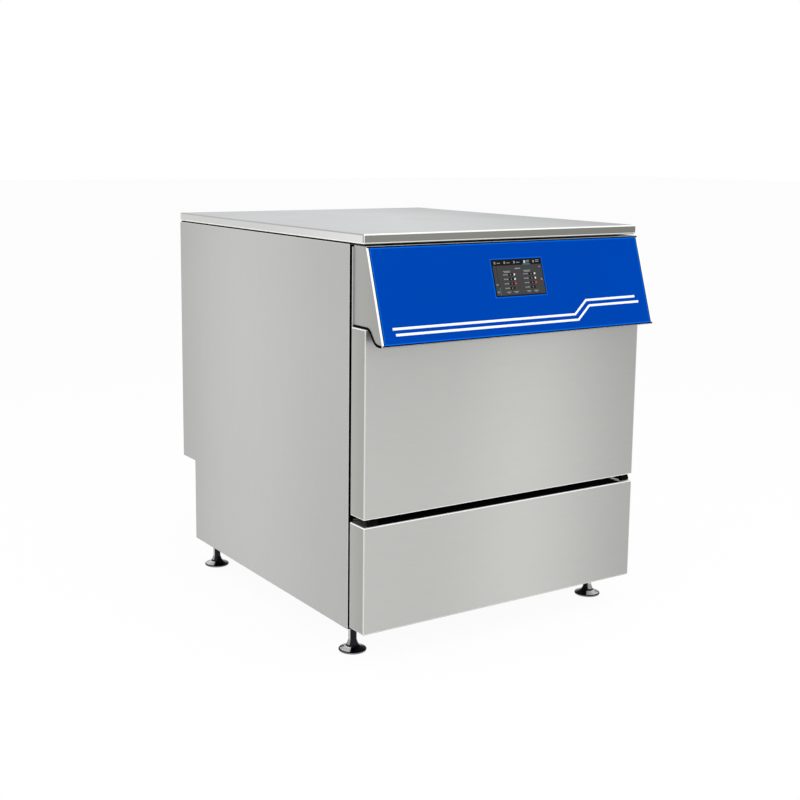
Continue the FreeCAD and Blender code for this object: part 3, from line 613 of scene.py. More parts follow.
def makeFloor():
    clearSelection()
    bpy.ops.mesh.primitive_plane_add(size=60, location=(0, 0, -0.0006))
    floor = bpy.context.object
    floor.name = "studioFloor"
    applyPlace(floor)
    tree, shader = newMaterial("studioFloorPaint", (0.96, 0.96, 0.96, 1), 0.0, 0.9)
    shader.inputs["Specular IOR Level"].default_value = 0.0
    glow = tree.nodes.new("ShaderNodeEmission")
    glow.inputs["Color"].default_value = (1, 1, 1, 1)
    glow.inputs["Strength"].default_value = 1.0
    path = tree.nodes.new("ShaderNodeLightPath").outputs
    either = addMath(tree, "MAXIMUM", path["Is Camera Ray"], path["Is Glossy Ray"])
    share = addMath(tree, "MULTIPLY", either, 0.95)
    mixInto(tree, "OUTPUT_MATERIAL", share, shader.outputs[0], glow.outputs[0])
    floor.data.materials.append(looks["studioFloorPaint"])


makeLights(lightValues)
makeFloor()
scene.view_settings.view_transform = "Standard"
print("camera, lights and floor made")


# folded front panels: door skin and lower panel

panelValues = {"half": 0.330, "front": -0.372, "wall": 0.002, "rim": 0.016, "fold": 0.0022, "near": 0.003}
frontLooks = "doorSteel foldGleam foldSteel foldSoft foldShade"


def foldedPanel(name, low, high, back, values):
    wall, front = values["wall"], values["front"]
    piece = newBlock(name, (-values["half"], front, low), (values["half"], back, high))
    pushParts(piece, lambda face: face.normal.y > 0.9, (0, -wall, 0), values["rim"])
    pushParts(piece, lambda face: face.normal.y > 0.9 and abs(face.center.y - back + wall) < 0.0004,
              (0, front + 2 * wall - back, 0))
    return roundEdges(piece, values["fold"], 4)


def paintFoldLightAndShade(piece, low, high, values):
    edge, near = values["half"] - values["fold"] * 1.1, values["near"]
    # painted highlight on every fold, a softer painted highlight on the upright folds, a painted darker copy
    # on the side returns, and painted shade on the right-hand folds and the lower panel's bottom fold
    paintFaces(piece, 1, onFold)
    paintFaces(piece, 3, lambda face: onFold(face) and low + near < face.center.z < high - near)
    paintFaces(piece, 2, lambda face: abs(face.normal.x) > flatLimit)
    paintFaces(piece, 4, lambda face: onFold(face) and face.center.x > edge and face.normal.x > 0.35)
    if low < 0.1:
        paintFaces(piece, 4, lambda face: onFold(face) and face.center.z < low + near
                   and face.normal.z < -0.35)


doorFront = foldedPanel("doorFront", 0.281, 0.630, -0.325, panelValues)
standIn(doorFront, "door_skin", frontLooks)
paintFoldLightAndShade(doorFront, 0.281, 0.630, panelValues)


def makeKickFront(values):
    pieces = [foldedPanel("kickFront", 0.063, 0.267, -0.323, values)]
    for x in (-0.312, 0.312):
        for z in (0.093, 0.227):
            seat = newBlock("kickSeat", (x - 0.012, -0.3245, z), (x + 0.012, -0.312, z + 0.014))
            pieces.append(roundEdges(seat, 0.001, 2))
    piece = joinPieces("kickFront", pieces)
    standIn(piece, "kick_panel", frontLooks)
    paintFoldLightAndShade(piece, 0.063, 0.267, values)


makeKickFront(panelValues)


# worktop lid

lidValues = {"half": 0.327, "front": -0.3587, "back": 0.418, "low": 0.780, "high": 0.798, "fold": 0.0026,
             "flange": 0.024, "hollow": 0.015}


def makeLid(values):
    half, front, low = values["half"], values["front"], values["low"]
    piece = newBlock("worktopLid", (-half, front, low), (half, values["back"], values["high"]))
    pushParts(piece, lambda face: face.normal.z < -0.9, (0, 0, values["hollow"]), values["flange"])
    roundEdges(piece, values["fold"], 4)
    standIn(piece, "top_lid", "lidSteel foldGleam lidFrontSteel seamShade lidSideSteel")
    # painted shade along every fold, painted highlight on the front and bottom folds, a painted darker copy
    # on the front face and a painted lighter copy on the left side face
    paintFaces(piece, 3, onFold)
    paintFaces(piece, 1, lambda face: onFold(face) and face.center.y < front + 0.003
               and abs(face.normal.x) < 0.3)
    paintFaces(piece, 1, lambda face: onFold(face) and face.center.z < low + 0.003)
    paintFaces(piece, 2, lambda face: face.normal.y < -flatLimit and face.center.y < front + 0.002)
    paintFaces(piece, 4, lambda face: face.normal.x < -flatLimit and face.center.x < 0.001 - half)


makeLid(lidValues)

for side in ("left", "right"):
    panel = cleanedCopy(side + "SidePanel", "side_panel_" + side, 0.0009)
    standIn(panel, "side_panel_" + side, "sideSteel foldSoft foldShade")
    # painted highlight on the folds and painted shade on the downward folds
    paintFaces(panel, 1, onFold)
    paintFaces(panel, 2, lambda face: onFold(face) and face.normal.z < -0.35)
print("outer panels made")


# black strips behind the gaps: painted shade, dark pieces put where the gaps lie in shade

shadeStripValues = {"edge": 0.3264, "inner": 0.3168, "front": -0.3134, "face": -0.3121}


def makeShadeStrips(values):
    # painted shade: black strips in the side gaps, across the gap above the lower panel, on the lower
    # panel's top, round the lid's underside and under its front edge
    strips = []
    for side in (-1, 1):
        x0, x1 = sorted((side * values["inner"], side * values["edge"]))
        strips.append(newBlock("seal", (x0, values["front"], 0.0558), (x1, values["face"], 0.7768)))
    strips.append(newBlock("seal", (-0.297, -0.3119, 0.2646), (0.297, -0.3102, 0.2826)))
    for strip in strips:
        roundEdges(strip, 0.0004, 1)
    finishPiece(joinPieces("cabinetSeal", strips), "cabinet", "sealBlack")
    top = newBlock("kickTopSeal", (-0.296, -0.3685, 0.2671), (0.296, -0.3255, 0.2683))
    pushParts(top, lambda face: face.normal.z > 0.9, (0, 0, 0.0006), 0.002)
    finishPiece(top, "cabinet", "sealBlack")
    ring = newBlock("lidSeal", (-0.3252, -0.3105, 0.7775), (0.3252, 0.4155, 0.78))
    pickParts(ring, lambda face: abs(face.normal.z) > 0.9)
    bpy.ops.mesh.inset(thickness=0.012)
    bpy.ops.mesh.bridge_edge_loops()
    leaveEdit()
    standIn(ring, "lid_pads", "sealBlack")
    lip = newBlock("lidFrontSeal", (-0.3235, -0.3565, 0.7793), (0.3235, -0.3375, 0.7801))
    finishPiece(roundEdges(lip, 0.0002, 1), "cabinet", "sealBlack")


makeShadeStrips(shadeStripValues)
print("seals made")


# console with its slanting front

slantValues = {"topY": -0.3634, "topZ": 0.7765, "run": 0.0556, "drop": 0.1725}
slantLength = math.hypot(slantValues["run"], slantValues["drop"])
slantRun, slantDrop = slantValues["run"] / slantLength, slantValues["drop"] / slantLength
slantMatrix = Matrix((
    (1, 0, 0, 0),
    (0, slantRun, -slantDrop, slantValues["topY"]),
    (0, slantDrop, slantRun, slantValues["topZ"]),
    (0, 0, 0, 1),
))


def placeOnSlant(piece):
    piece.matrix_world = slantMatrix @ piece.matrix_world
    applyPlace(piece)
    return piece


def slantBlock(name, x0, x1, s0, s1, d0, d1):
    # millimetres: x across, s down the slope, d out of its surface
    low, high = (x0 / 1000, -s1 / 1000, d0 / 1000), (x1 / 1000, -s0 / 1000, d1 / 1000)
    return placeOnSlant(newBlock(name, low, high))


shell = cleanedCopy("consoleShell", "console_shell", 0.0009, 3)
standIn(shell, "console_shell", "consoleSteel foldGleam")
# painted highlight on the shell's front-facing faces
paintFaces(shell, 1, lambda face: face.normal.y < -0.85)
film = cleanedCopy("fasciaFilm", "fascia_panel", 0.0006)
standIn(film, "fascia_panel", "fasciaBlue fasciaEdge")
# painted highlight on the rounded edges of the blue plate
paintFaces(film, 1, lambda face: face.normal.y > -0.93)


def makeFasciaShadeLines():
    # dark line round the blue plate and along the top and foot of the slope, painted shade along its edges
    length = slantLength * 1000
    strips = [slantBlock("seal", -324.0, 324.0, 0.5, 2.9, -0.3, 0.25),
              slantBlock("seal", -324.0, 324.0, length - 2.9, length - 0.4, -0.3, 0.1),
              slantBlock("seal", -320.4, -318.6, 2.7, length - 2.7, -1.0, 0.15),
              slantBlock("seal", 318.6, 320.4, 2.7, length - 2.7, -1.0, 0.15)]
    finishPiece(joinPieces("fasciaSeal", strips), "door", "sealBlack")


def makeFasciaGleamLines(screen):
    # lighter line inside the edge of the blue plate and round the screen, a painted highlight along the
    # edges
    around = (screen["x0"] - 2.0, screen["x1"] + 2.0, screen["s0"] - 2.0, screen["s1"] + 2.0, 2.0)
    lines = []
    for x0, x1, s0, s1, wide in ((-318.6, 318.6, 2.9, slantLength * 1000 - 2.9, 2.2), around):
        for place in ((x0, x1, s0, s0 + wide), (x0, x1, s1 - wide, s1),
                      (x0, x0 + wide, s0 + wide, s1 - wide), (x1 - wide, x1, s0 + wide, s1 - wide)):
            lines.append(slantBlock("border", *place, -0.2, 0.04))
    finishPiece(joinPieces("fasciaBorders", lines), "door", "fasciaEdge")


screenValues = {"x0": -57.5, "x1": 64.0, "s0": 35.0, "s1": 106.5, "border": 2.4, "proud": 0.8}
makeFasciaShadeLines()
makeFasciaGleamLines(screenValues)

coveValues = {"half": 0.3258, "thick": 0.0044, "points": (
    (-0.326, 0.6320), (-0.370, 0.6320), (-0.3744, 0.6311), (-0.3785, 0.6289), (-0.3824, 0.6252),
    (-0.3912, 0.6133), (-0.3956, 0.6090), (-0.4015, 0.6061), (-0.4084, 0.6052), (-0.4165, 0.6052))}


def makeCoveShadeStrip(values):
    # thin black strip that follows the grip under the console from end to end, painted shade under the
    # console
    clearSelection()
    bpy.ops.mesh.primitive_plane_add(size=1, location=(0, 0, 0))
    piece = bpy.context.object
    piece.name = "coveSeal"
    mesh = piece.data
    (y0, z0), (y1, z1) = values["points"][:2]
    half = values["half"]
    corners = ((-half, y0, z0), (half, y0, z0), (-half, y1, z1), (half, y1, z1))
    for vertex, corner in zip(mesh.vertices, corners):
        vertex.co = corner

    def isAt(edge, y, z):
        ends = [mesh.vertices[i].co for i in edge.vertices]
        return all(abs(v.y - y) < 1e-5 and abs(v.z - z) < 1e-5 for v in ends)

    for (ya, za), (yb, zb) in zip(values["points"][1:], values["points"][2:]):
        pushParts(piece, lambda edge: isAt(edge, ya, za), (0, yb - ya, zb - za), kind="EDGE")
    onlySelect(piece)
    solid = piece.modifiers.new("thickness", "SOLIDIFY")
    solid.thickness = values["thick"]
    solid.offset = 0.0
    bpy.ops.object.modifier_apply(modifier="thickness")
    bpy.ops.object.mode_set(mode="EDIT")
    bpy.ops.mesh.select_all(action="SELECT")
    bpy.ops.mesh.normals_make_consistent(inside=False)
    leaveEdit()
    finishPiece(smoothShade(piece), "door", "sealBlack")


makeCoveShadeStrip(coveValues)

stripeValues = {"width": 4.9, "height": 0.35,
                "Upper": ((-297, 150), (126, 150), (159, 124), (288, 123.5)),
                "Lower": ((-292, 161), (132, 161), (165, 135), (296, 134.5))}


def makeStripe(which, values):
    path = [(x / 1000, -s / 1000, 0) for x, s in values[which]]
    piece = bentTubes("stripe" + which, [path], values["width"] / 2000)
    piece.scale.z = values["height"] / values["width"] * 2
    piece.location.z = -0.00008
    bpy.context.view_layer.update()
    finishPiece(smoothShade(placeOnSlant(piece)), "door", "stripeWhite")


makeStripe("Upper", stripeValues)
makeStripe("Lower", stripeValues)


# touch screen

screenLayout = {"header": 9.8, "tabs": 5, "tabStep": 23.2, "active": 3, "rows": 4, "firstRow": 26.6,
                "rowStep": 8.6, "columns": ((21.5, 33.5, 46.4), (69.7, 82.9, 95.6)), "feet": 60.0}


def makeScreen(values, layout):
    border, top = values["border"], values["proud"]
    bezel = slantBlock("screenBezel", values["x0"], values["x1"], values["s0"], values["s1"], -12, top)
    standIn(roundEdges(bezel, 0.0005, 2), "touch_screen")
    x0, x1 = values["x0"] + border, values["x1"] - border
    s0, s1 = values["s0"] + border, values["s1"] - border
    face = slantBlock("screenFace", x0, x1, s0, s1, top - 0.1, top + 0.04)
    finishPiece(face, "door", "screenGrey")
    wide = x1 - x0
    marks = {kind: [] for kind in ("Black", "Grey", "White", "Teal", "Red")}

    def mark(kind, x, s, across, down, lift=0.0):
        # x and s count from the corner of the screen's face
        x, s = x0 + x, s0 + s
        marks[kind].append(slantBlock("mark", x, x + across, s, s + down, top + 0.03, top + 0.09 + lift))

    mark("Black", 0, 0, wide, layout["header"])
    for index in range(layout["tabs"]):
        x = 4 + layout["tabStep"] * index
        active = index == layout["active"]
        mark("White" if active else "Grey", x + active * 1.5, 2.0, 3.6, 4.6, 0.03)
        mark("Grey", x + 7.0, 4.2, 7.5, 1.5, 0.03)
        if index >= layout["active"]:
            mark("Grey", x + 7.0, 1.4, 8.5, 1.3, 0.03)
    mark("Teal", 71.5, 7.6, 18.5, 2.2, 0.05)
    mark("Black", 8.0, layout["header"], 0.7, 42.0, -0.02)
    for s in (44.5, 58.5):
        mark("Grey", 2.2, s, 4.4, 2.6, 0.02)
    mark("Teal", 8.6, 51.5, 1.6, 14.2, 0.02)
    mark("Grey", 51, 15.4, 13.5, 2.2)
    feet = layout["feet"]
    for label, field, light in layout["columns"]:
        mark("Grey", label + 1.0, 20.4, 17.0, 1.4)
        mark("Grey", label + 3.0, 22.6, 14.0, 1.2)
        for row in range(layout["rows"]):
            s = layout["firstRow"] + layout["rowStep"] * row
            mark("Grey", label, s, 4.6, 2.0)
            mark("Grey", label + 5.6, s, 5.4, 2.0)
            mark("Black", field, s - 1.3, 11.5, 4.8)
            mark("Grey", field + 4.4, s + 0.2, 2.4, 2.0, 0.04)
            if row < 3:
                mark("Red" if row == 2 else "White", light, s - 0.6, 3.3, 3.4)
        for x, s, across, down in ((2, 0, 10.5, 1.4), (5.5, 1.9, 4.0, 1.3), (19, 0, 11.5, 1.4),
                                   (22.5, 1.9, 5.0, 1.3)):
            mark("Grey", label + x, feet + s, across, down)
    mark("Grey", wide - 7.4, 14.0, 4.2, 2.0)
    mark("Grey", wide - 6.4, 37.6, 3.4, 3.4)
    for kind, pieces in marks.items():
        finishPiece(joinPieces("screen" + kind, pieces), "door", "mark" + kind)


makeScreen(screenValues, screenLayout)
print("console made")


# adjustable feet

# per side: the turn in degrees of the painted reflection patches and the share past which the stem gets one
footValues = {"sides": {"left": (188, 0.99), "right": (264, 0.93)},
              "profile": ((25.6, 0), (26.7, 0.6), (27.0, 1.4), (27.0, 2.7), (26.4, 3.5), (24.6, 4.4),
                          (20.8, 5.7), (16.8, 7.3), (13.6, 9.5), (11.4, 12.4), (9.9, 15.8), (8.9, 18.8),
                          (8.2, 20.8), (8.0, 22.4), (8.0, 44.0)),
              "threadLow": 44.0, "threadHigh": 80.0, "pitch": 2.0}


def makeFoot(node, gleamTurn, stemShare, values):
    low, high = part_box(node)
    centre = ((low[0] + high[0]) / 2, (low[1] + high[1]) / 2)
    profile = list(values["profile"])
    height = values["threadLow"]
    while height + values["pitch"] < values["threadHigh"]:
        profile += [(7.2, height + 0.9), (8.0, height + values["pitch"])]
        height += values["pitch"]
    profile.append((7.4, values["threadHigh"]))
    piece = turnedPiece(node.replace("_", "") + "Pad", profile, (*centre, 0), sides=64, smooth=40)
    standIn(piece, node, "footBlack footGleam footChrome")
    gleam = Vector((math.cos(math.radians(gleamTurn)), math.sin(math.radians(gleamTurn))))

    def facing(face):
        away = Vector((face.center.x - centre[0], face.center.y - centre[1]))
        return away.normalized().dot(gleam) if away.length > 0.001 else -1

    # painted reflections: a pale patch with a half-pale edge on the pad and the stem, on the side the turn
    # points to
    for look, share, bottom, top in ((2, 0.72, 0.004, 0.0085), (1, 0.80, 0.004, 0.0085),
                                     (2, stemShare - 0.06, 0.014, 0.05), (1, stemShare, 0.022, 0.05)):
        paintFaces(piece, look, lambda face: facing(face) > share and bottom < face.center.z < top)
    # painted highlight: a half-pale band round the rim except on the side that faces back
    paintFaces(piece, 2, lambda face: 0.0012 < face.center.z < 0.003 and face.normal.y < 0.2)


for footEnd in ("front", "rear"):
    for footSide, (footTurn, footShare) in footValues["sides"].items():
        makeFoot("foot_" + footEnd + "_" + footSide, footTurn, footShare, footValues)
print("feet made")


# sheet and moulded pieces keep their shape and get rounded edges

edgeValues = {
    0.0012: "base_frame lock_housing circulation_pump drain_pump inlet_valves control_box",
    0.001: "dosing_pumps blower_housing",
    0.0008: "door_liner sump air_duct",
    0.0006: "rear_panel_upper rear_panel_lower wash_tub rack_rails door_striker hinge_brackets hinge_arms "
            "dosing_rotor_left dosing_rotor_right",
    0.0005: "lock_bolt pump_impeller",
    0.0004: "filter_plate hinge_pins blower_wheel",
    0.0003: "control_board",
    0.0036: "door_gasket",
    0.003: "door_insulation",
    0.0: "hoses",
}

for edgeWidth, edgeNodes in edgeValues.items():
    for edgeNode in edgeNodes.split():
        form = cleanedCopy(camelName(edgeNode) + "Form", edgeNode, edgeWidth,
                           4 if edgeNode == "door_gasket" else 2)
        standIn(form, edgeNode, "hingeSteel" if edgeNode.startswith("hinge") else "")
print("sheet pieces made")


# wire baskets

rackValues = {
    "lower_rack": {"half": 0.235, "front": -0.282, "back": 0.232,
                   "floor": 0.346, "top": 0.430, "grip": 0.456},
    "upper_rack": {"half": 0.236, "front": -0.282, "back": 0.232,
                   "floor": 0.526, "top": 0.600, "grip": 0.626},
    "wires": {"rim": 0.0026, "thin": 0.0015, "across": 14, "along": 12, "corner": 0.014, "gripHalf": 0.087},
}


def rimLoop(values, z, inset, corner):
    x, y0, y1 = values["half"] - inset, values["front"] + inset, values["back"] - inset
    return roundedPath(((-x, y0, z), (x, y0, z), (x, y1, z), (-x, y1, z)), corner, 5, True)


def makeBasket(values, wires):
    rim, thin, corner = wires["rim"], wires["thin"], wires["corner"]
    rims = [rimLoop(values, z, rim, corner) for z in (values["floor"] + rim, values["top"] - rim)]
    middle = (values["floor"] + values["top"]) / 2
    inner = 2 * rim + thin
    x, y0, y1 = values["half"] - inner, values["front"] + inner, values["back"] - inner
    top = values["top"] - 0.001
    high, low = values["floor"] + 0.005 - thin, values["floor"] + 0.005 - 3 * thin
    bent = []
    for index in range(wires["across"]):
        y = y0 + 0.016 + (y1 - y0 - 0.032) * index / (wires["across"] - 1)
        bent.append(roundedPath(((-x, y, top), (-x, y, high), (x, y, high), (x, y, top)), 0.012))
    for index in range(wires["along"]):
        place = -x + 0.016 + (2 * x - 0.032) * index / (wires["along"] - 1)
        bent.append(roundedPath(((place, y0, top), (place, y0, low), (place, y1, low), (place, y1, top)),
                                0.012))
    grip, half = values["grip"] - 0.003, wires["gripHalf"]
    y, foot = values["front"] + rim, values["top"] - 0.006
    handle = roundedPath(((-half, y, foot), (-half, y, grip), (half, y, grip), (half, y, foot)), 0.012)
    hoop = rimLoop(values, middle, rim, corner)
    return [bentTubes("rim", rims, rim, True), bentTubes("hoop", [hoop], thin, True),
            bentTubes("wire", bent, thin), bentTubes("grip", [handle], 0.003)]


def makeLowerRack():
    pieces = makeBasket(rackValues["lower_rack"], rackValues["wires"])
    for y in (-0.182, 0.180):
        for x in (-0.229, 0.229):
            plate = newBlock("hanger", (x - 0.003, y - 0.008, 0.3282), (x + 0.003, y + 0.008, 0.3506))
            pieces.append(roundEdges(plate, 0.0012))
            bush = ((4.5, 0), (5.2, 0.6), (5.2, 6.8), (4.5, 7.4))
            pieces.append(turnedPiece("bush", bush, (x - 0.0037, y, 0.3352), "x", 24))
    standIn(joinPieces("lowerBasket", pieces), "lower_rack")


def makeUpperRack():
    pieces = makeBasket(rackValues["upper_rack"], rackValues["wires"])
    for side in (-1, 1):
        x0, x1 = sorted((side * 0.248, side * 0.254))
        pieces.append(roundEdges(newBlock("runner", (x0, -0.282, 0.5222), (x1, 0.232, 0.538)), 0.0018))
        x0, x1 = sorted((side * 0.2335, side * 0.249))
        for y in (-0.250, -0.025, 0.188):
            pieces.append(roundEdges(newBlock("bracket", (x0, y, 0.526), (x1, y + 0.012, 0.531)), 0.0012, 2))
    standIn(joinPieces("upperBasket", pieces), "upper_rack")


def makeAxle(node, y):
    # plain rod with a grooved roller at each end
    height = 0.3352
    rod = ((2.4, 0), (3, 0.8), (3, 503.2), (2.4, 504))
    wheel = ((4.4, 0.2), (5.8, 0.2), (6.2, 2.4), (9.4, 2.4), (9.9, 0.6), (11.2, 0.3), (12.0, 1.3),
             (12.0, 8.7), (11.2, 9.7), (9.9, 9.4), (9.4, 7.6), (6.2, 7.6), (5.8, 9.8), (4.4, 9.8))
    pieces = [turnedPiece("rod", rod, (-0.252, y, height), "x", 24)]
    pieces += [turnedPiece("wheel", wheel, (x, y, height), "x", 40, 40) for x in (-0.252, 0.242)]
    piece = joinPieces(bodyOf[node].replace("_", "") + "Rollers", pieces)
    standIn(piece, node, "wheelWhite wireSteel")
    paintFaces(piece, 1, lambda face: math.hypot(face.center.y - y, face.center.z - height) < 0.00302)


makeLowerRack()
makeUpperRack()
makeAxle("wheel_axle_front", -0.182)
makeAxle("wheel_axle_rear", 0.180)
print("racks made")


# injector rows of the lower rack

injectorValues = {"rows": (-0.120, 0.0, 0.120), "front": -0.220, "length": 410, "height": 0.3575,
                  "places": (-0.200, -0.080, 0.040, 0.160), "reach": 118, "ring": 0.011, "ringHeight": 0.448}


def makeInjectors(values):
    pieces, rings, spokes = [], [], []
    height, length, reach = values["height"], values["length"], values["reach"]
    ring, level = values["ring"], values["ringHeight"]
    header = ((5.2, 0), (6.6, 0.8), (7, 2.2), (7, length - 2.2), (6.6, length - 0.8), (5.2, length))
    tube = ((4.8, 0), (4.8, 11), (3, 13.5), (3, reach - 6), (1.8, reach), (1.1, reach), (1, reach - 4))
    turns = [2 * math.pi * step / 20 for step in range(20)]
    for x in values["rows"]:
        pieces.append(turnedPiece("header", header, (x, values["front"], height), "y", 32, 40))
        for y in values["places"]:
            pieces.append(turnedPiece("injector", tube, (x, y, height), "z", 24, 40))
            rings.append([(x + ring * math.cos(t), y + ring * math.sin(t), level) for t in turns])
            spokes.append([(x - ring, y, level), (x + ring, y, level)])
    pieces.append(bentTubes("ring", rings, 0.001, True, 2))
    pieces.append(bentTubes("spoke", spokes, 0.001, False, 2))
    feed = ((5.2, 0), (7, 1.8), (7, 252.2), (5.2, 254))
    pieces.append(turnedPiece("feed", feed, (-0.127, 0.197, height), "x", 32, 40))
    standIn(joinPieces("injectorRows", pieces), "injector_tubes")


makeInjectors(injectorValues)


# spray arms, their pipes and the heater

armValues = {"lower": {"node": "lower_spray_arm", "top": 0.318, "jets": (0.055, 0.095, 0.135, 0.175)},
             "upper": {"node": "upper_spray_arm", "top": 0.677, "jets": (0.050, 0.090, 0.130, 0.170)}}


def makeArm(side, values):
    pieces = [cleanedCopy("blade", values["node"], 0.0011, 3)]
    jet = ((4.4, -1), (4.4, 0.4), (3.4, 1.1), (1.6, 1.2), (1.3, 0.3))
    for index, reach in enumerate(values["jets"]):
        for sign in (-1, 1):
            y = -0.020 + sign * (0.004 if index % 2 else -0.004)
            pieces.append(turnedPiece("jet", jet, (sign * reach, y, values["top"]), "z", 20))
    if side == "lower":
        cap = ((14.2, 0), (14.6, 0.8), (13.6, 2.6), (10, 4), (4, 4.6))
        pieces.append(turnedPiece("hubCap", cap, (0, -0.020, 0.3221), "z", 40, 50))
    standIn(joinPieces(side + "SprayArm", pieces), values["node"])


def makeRiser():
    bends = ((0, 0.250, 0.268), (0, 0.250, 0.710), (0, -0.020, 0.710), (0, -0.020, 0.689))
    path = roundedPath(bends, 0.020, 8)
    pieces = [bentTubes("pipe", [path], 0.009, False, 6)]
    pieces.append(turnedPiece("stem", ((8.5, 662.5), (9, 663), (9, 692)), (0, -0.020, 0)))
    cap = ((10, 657.8), (14.2, 659), (15, 660.6), (15, 662.8), (14.2, 663.8))
    pieces.append(turnedPiece("cap", cap, (0, -0.020, 0), sides=40, smooth=50))
    foot = ((20, 296), (20, 297.8), (18.8, 299), (12, 299), (10.5, 301))
    pieces.append(turnedPiece("flange", foot, (0, 0.250, 0)))
    for y0, z0, z1 in ((0.060, 0.708, 0.730), (0.250, 0.480, 0.500)):
        clamp = newBlock("clamp", (-0.014, y0, z0), (0.014, y0 + 0.020, z1))
        pieces.append(roundEdges(clamp, 0.002))
    standIn(joinPieces("riserPipe", pieces), "riser_pipe")


def makeHeater():
    z = 0.303
    corners = ((-0.040, 0.2695), (-0.040, 0.205), (-0.185, 0.205), (-0.185, -0.240),
               (0.185, -0.240), (0.185, 0.205), (0.040, 0.205), (0.040, 0.2695))
    path = roundedPath([(x, y, z) for x, y in corners], 0.028, 7)
    pieces = [bentTubes("element", [path], 0.004, False, 5)]
    for x in (-0.185, 0.185):
        for y in (-0.100, 0.120):
            clip = newBlock("clip", (x - 0.006, y - 0.005, 0.296), (x + 0.006, y + 0.005, 0.305))
            pieces.append(roundEdges(clip, 0.0016))
    for x in (-0.040, 0.040):
        pieces.append(turnedPiece("nut", ((8.5, 262), (9.5, 262.8), (9.5, 269.8)), (x, 0, z), "y", 6))
    standIn(joinPieces("heaterLoop", pieces), "heating_element")


def makeArmPost():
    path = roundedPath(((0, -0.020, 0.300), (0, -0.020, 0.200), (0, 0.060, 0.200)), 0.024, 8)
    pieces = [bentTubes("pipe", [path], 0.012, False, 6)]
    for name, profile in (("post", ((11.5, 298), (12, 298.5), (12, 320.5), (11.5, 321))),
                          ("collar", ((16, 299.8), (17, 300.6), (17, 304), (16, 304.8)))):
        pieces.append(turnedPiece(name, profile, (0, -0.020, 0)))
    standIn(joinPieces("armPost", pieces), "lower_arm_post")


for armSide, armSizes in armValues.items():
    makeArm(armSide, armSizes)
makeRiser()
makeHeater()
makeArmPost()
print("wash chamber made")


# connections and screws on the rear

rearValues = {"wall": 0.356, "upperWall": 0.416, "inlets": (-0.240, -0.170, -0.100), "inletZ": 0.160,
              "drain": (0.110, 0.125), "steam": (0.210, 0.170), "gland": (0.030, 0.170)}


def makeInlets(values):
    thread = [(11.8, 4.5), (12.4, 5.2)]
    for turn in range(15):
        thread += [(13.2, 6.2 + turn * 1.78), (12.2, 7.1 + turn * 1.78)]
    thread += [(11.8, 34), (9, 34), (8.5, 33.4), (8.5, 9)]
    pieces = []
    for x in values["inlets"]:
        place = (x, values["wall"], values["inletZ"])
        pieces.append(turnedPiece("thread", thread, place, "y", 40, 28))
        pieces.append(turnedPiece("hexagon", ((18.8, 0), (20, 0.8), (20, 4), (18.2, 5)), place, "y", 6))
    standIn(joinPieces("inletStubs", pieces), "water_inlets")


def makeSpigots(values):
    x, z = values["drain"]
    barbs = [(10, 3.5)]
    for turn in range(4):
        barbs += [(10.5, 6 + turn * 8.2), (9.5, 13.8 + turn * 8.2)]
    barbs += [(9.2, 39.8), (8.4, 40), (8, 39.4), (8, 8)]
    flange = ((19, 0), (19.5, 0.6), (19.5, 3.2), (18.6, 4))
    pieces = [turnedPiece("barb", barbs, (x, values["wall"], z), "y", 40, 28),
              turnedPiece("flange", flange, (x, values["wall"], z), "y", 48)]
    standIn(joinPieces("drainSpigot", pieces), "drain_outlet")
    x, z = values["steam"]
    duct = ((18.4, 3.5), (18.4, 36), (19, 37), (19, 42), (18.6, 43.6), (17.2, 44), (16.5, 43.4), (16.5, 8))
    flange = ((27.5, 0), (28, 0.6), (28, 3.2), (27, 4))
    pieces = [turnedPiece("duct", duct, (x, values["wall"], z), "y", 48, 28),
              turnedPiece("flange", flange, (x, values["wall"], z), "y", 48)]
    for turn in range(4):
        angle = math.radians(45 + 90 * turn)
        place = (x + 0.0232 * math.cos(angle), values["wall"] + 0.0038, z + 0.0232 * math.sin(angle))
        pieces.append(turnedPiece("stud", ((2.2, 0), (2.4, 0.6), (1.8, 1.6)), place, "y", 20))
    standIn(joinPieces("steamSpigot", pieces), "steam_outlet")


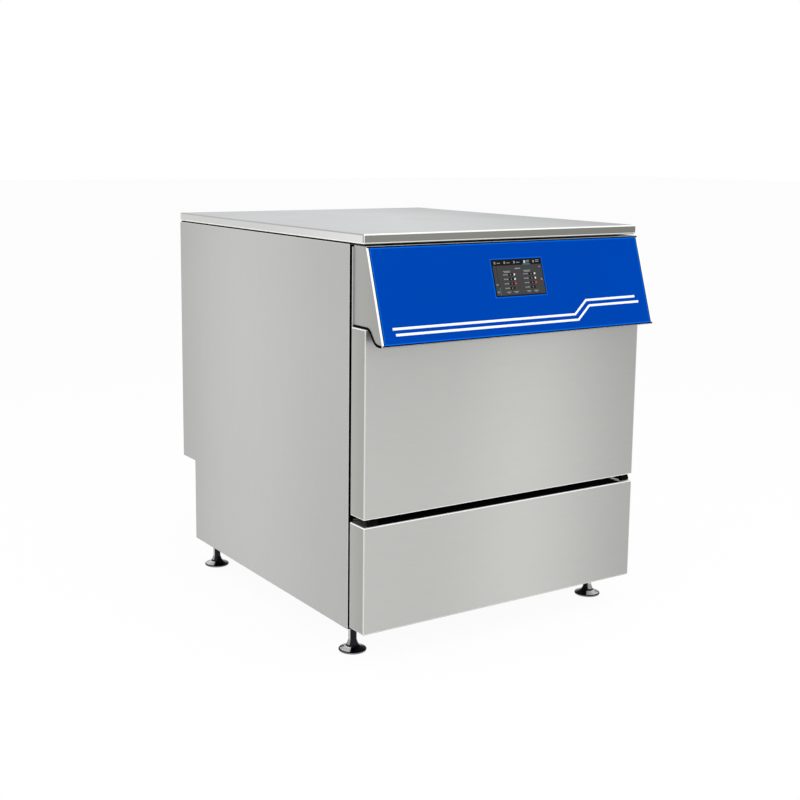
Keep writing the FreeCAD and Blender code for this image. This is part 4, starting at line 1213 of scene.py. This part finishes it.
def makeGland(values):
    x, z = values["gland"]
    place = (x, values["wall"], z)
    hexagon = turnedPiece("hexagon", ((13.2, 0), (14, 0.7), (14, 4.3), (13, 5)), place, "y", 6)
    dome = ((11.3, 4.5), (11.5, 8.5), (12.6, 9), (13, 9.8), (13, 18), (12.2, 21.6), (10.4, 23.6), (9.2, 24),
            (8.8, 23.4), (6.2, 23.2), (6, 22.6), (6, 6))
    pieces = [hexagon, turnedPiece("nut", dome, place, "y", 36, 28)]
    for turn in range(12):
        rib = newBlock("rib", (-0.0006, 0.0100, 0.0122), (0.0006, 0.0178, 0.0130))
        rib.rotation_euler = (0, 2 * math.pi * turn / 12, 0)
        rib.location = place
        applyPlace(rib)
        pieces.append(roundEdges(rib, 0.0002, 1))
    piece = standIn(joinPieces("cableGland", pieces), "cable_gland", "housingBlack blackRubber")
    paintFaces(piece, 1, lambda face: math.hypot(face.center.x - x, face.center.z - z) < 0.0086)


def makeScrews(values):
    head = ((4.3, -0.2), (4.5, 0.2), (4.4, 0.8), (3.8, 1.6), (2.7, 2.1), (1.4, 2.36), (0.5, 2.4))
    screw = turnedPiece("screwHead", head, (0, 0, 0), "y", 32, 60)
    for wide, tall in ((0.0026, 0.0005), (0.0005, 0.0026)):
        cutAway(screw, newBlock("recess", (-wide, 0.0009, -tall), (wide, 0.0040, tall)))
    smoothShade(screw, 40)
    edge = 0.305
    places = [(x, values["wall"], z) for x in (-edge, -edge / 3, edge / 3, edge) for z in (0.075, 0.2274)]
    places += [(x, values["upperWall"], 0.2994 + 0.4501 * index / 3) for x in (-edge, edge)
               for index in range(4)]
    copies = [copyOf(screw, "screwCopy", place) for place in places]
    bpy.data.objects.remove(screw)
    standIn(joinPieces("panelScrews", copies), "panel_screws")


makeInlets(rearValues)
makeSpigots(rearValues)
makeGland(rearValues)
makeScrews(rearValues)
print("rear connections made")


# solids that keep their own shape get their finishes

for entry in frame["record"]["subparts"]:
    mesh = nodes[entry["node"]].data
    mesh.materials.clear()
    mesh.materials.append(looks[slotLook(entry["material_slot"])])
print("finishes set")
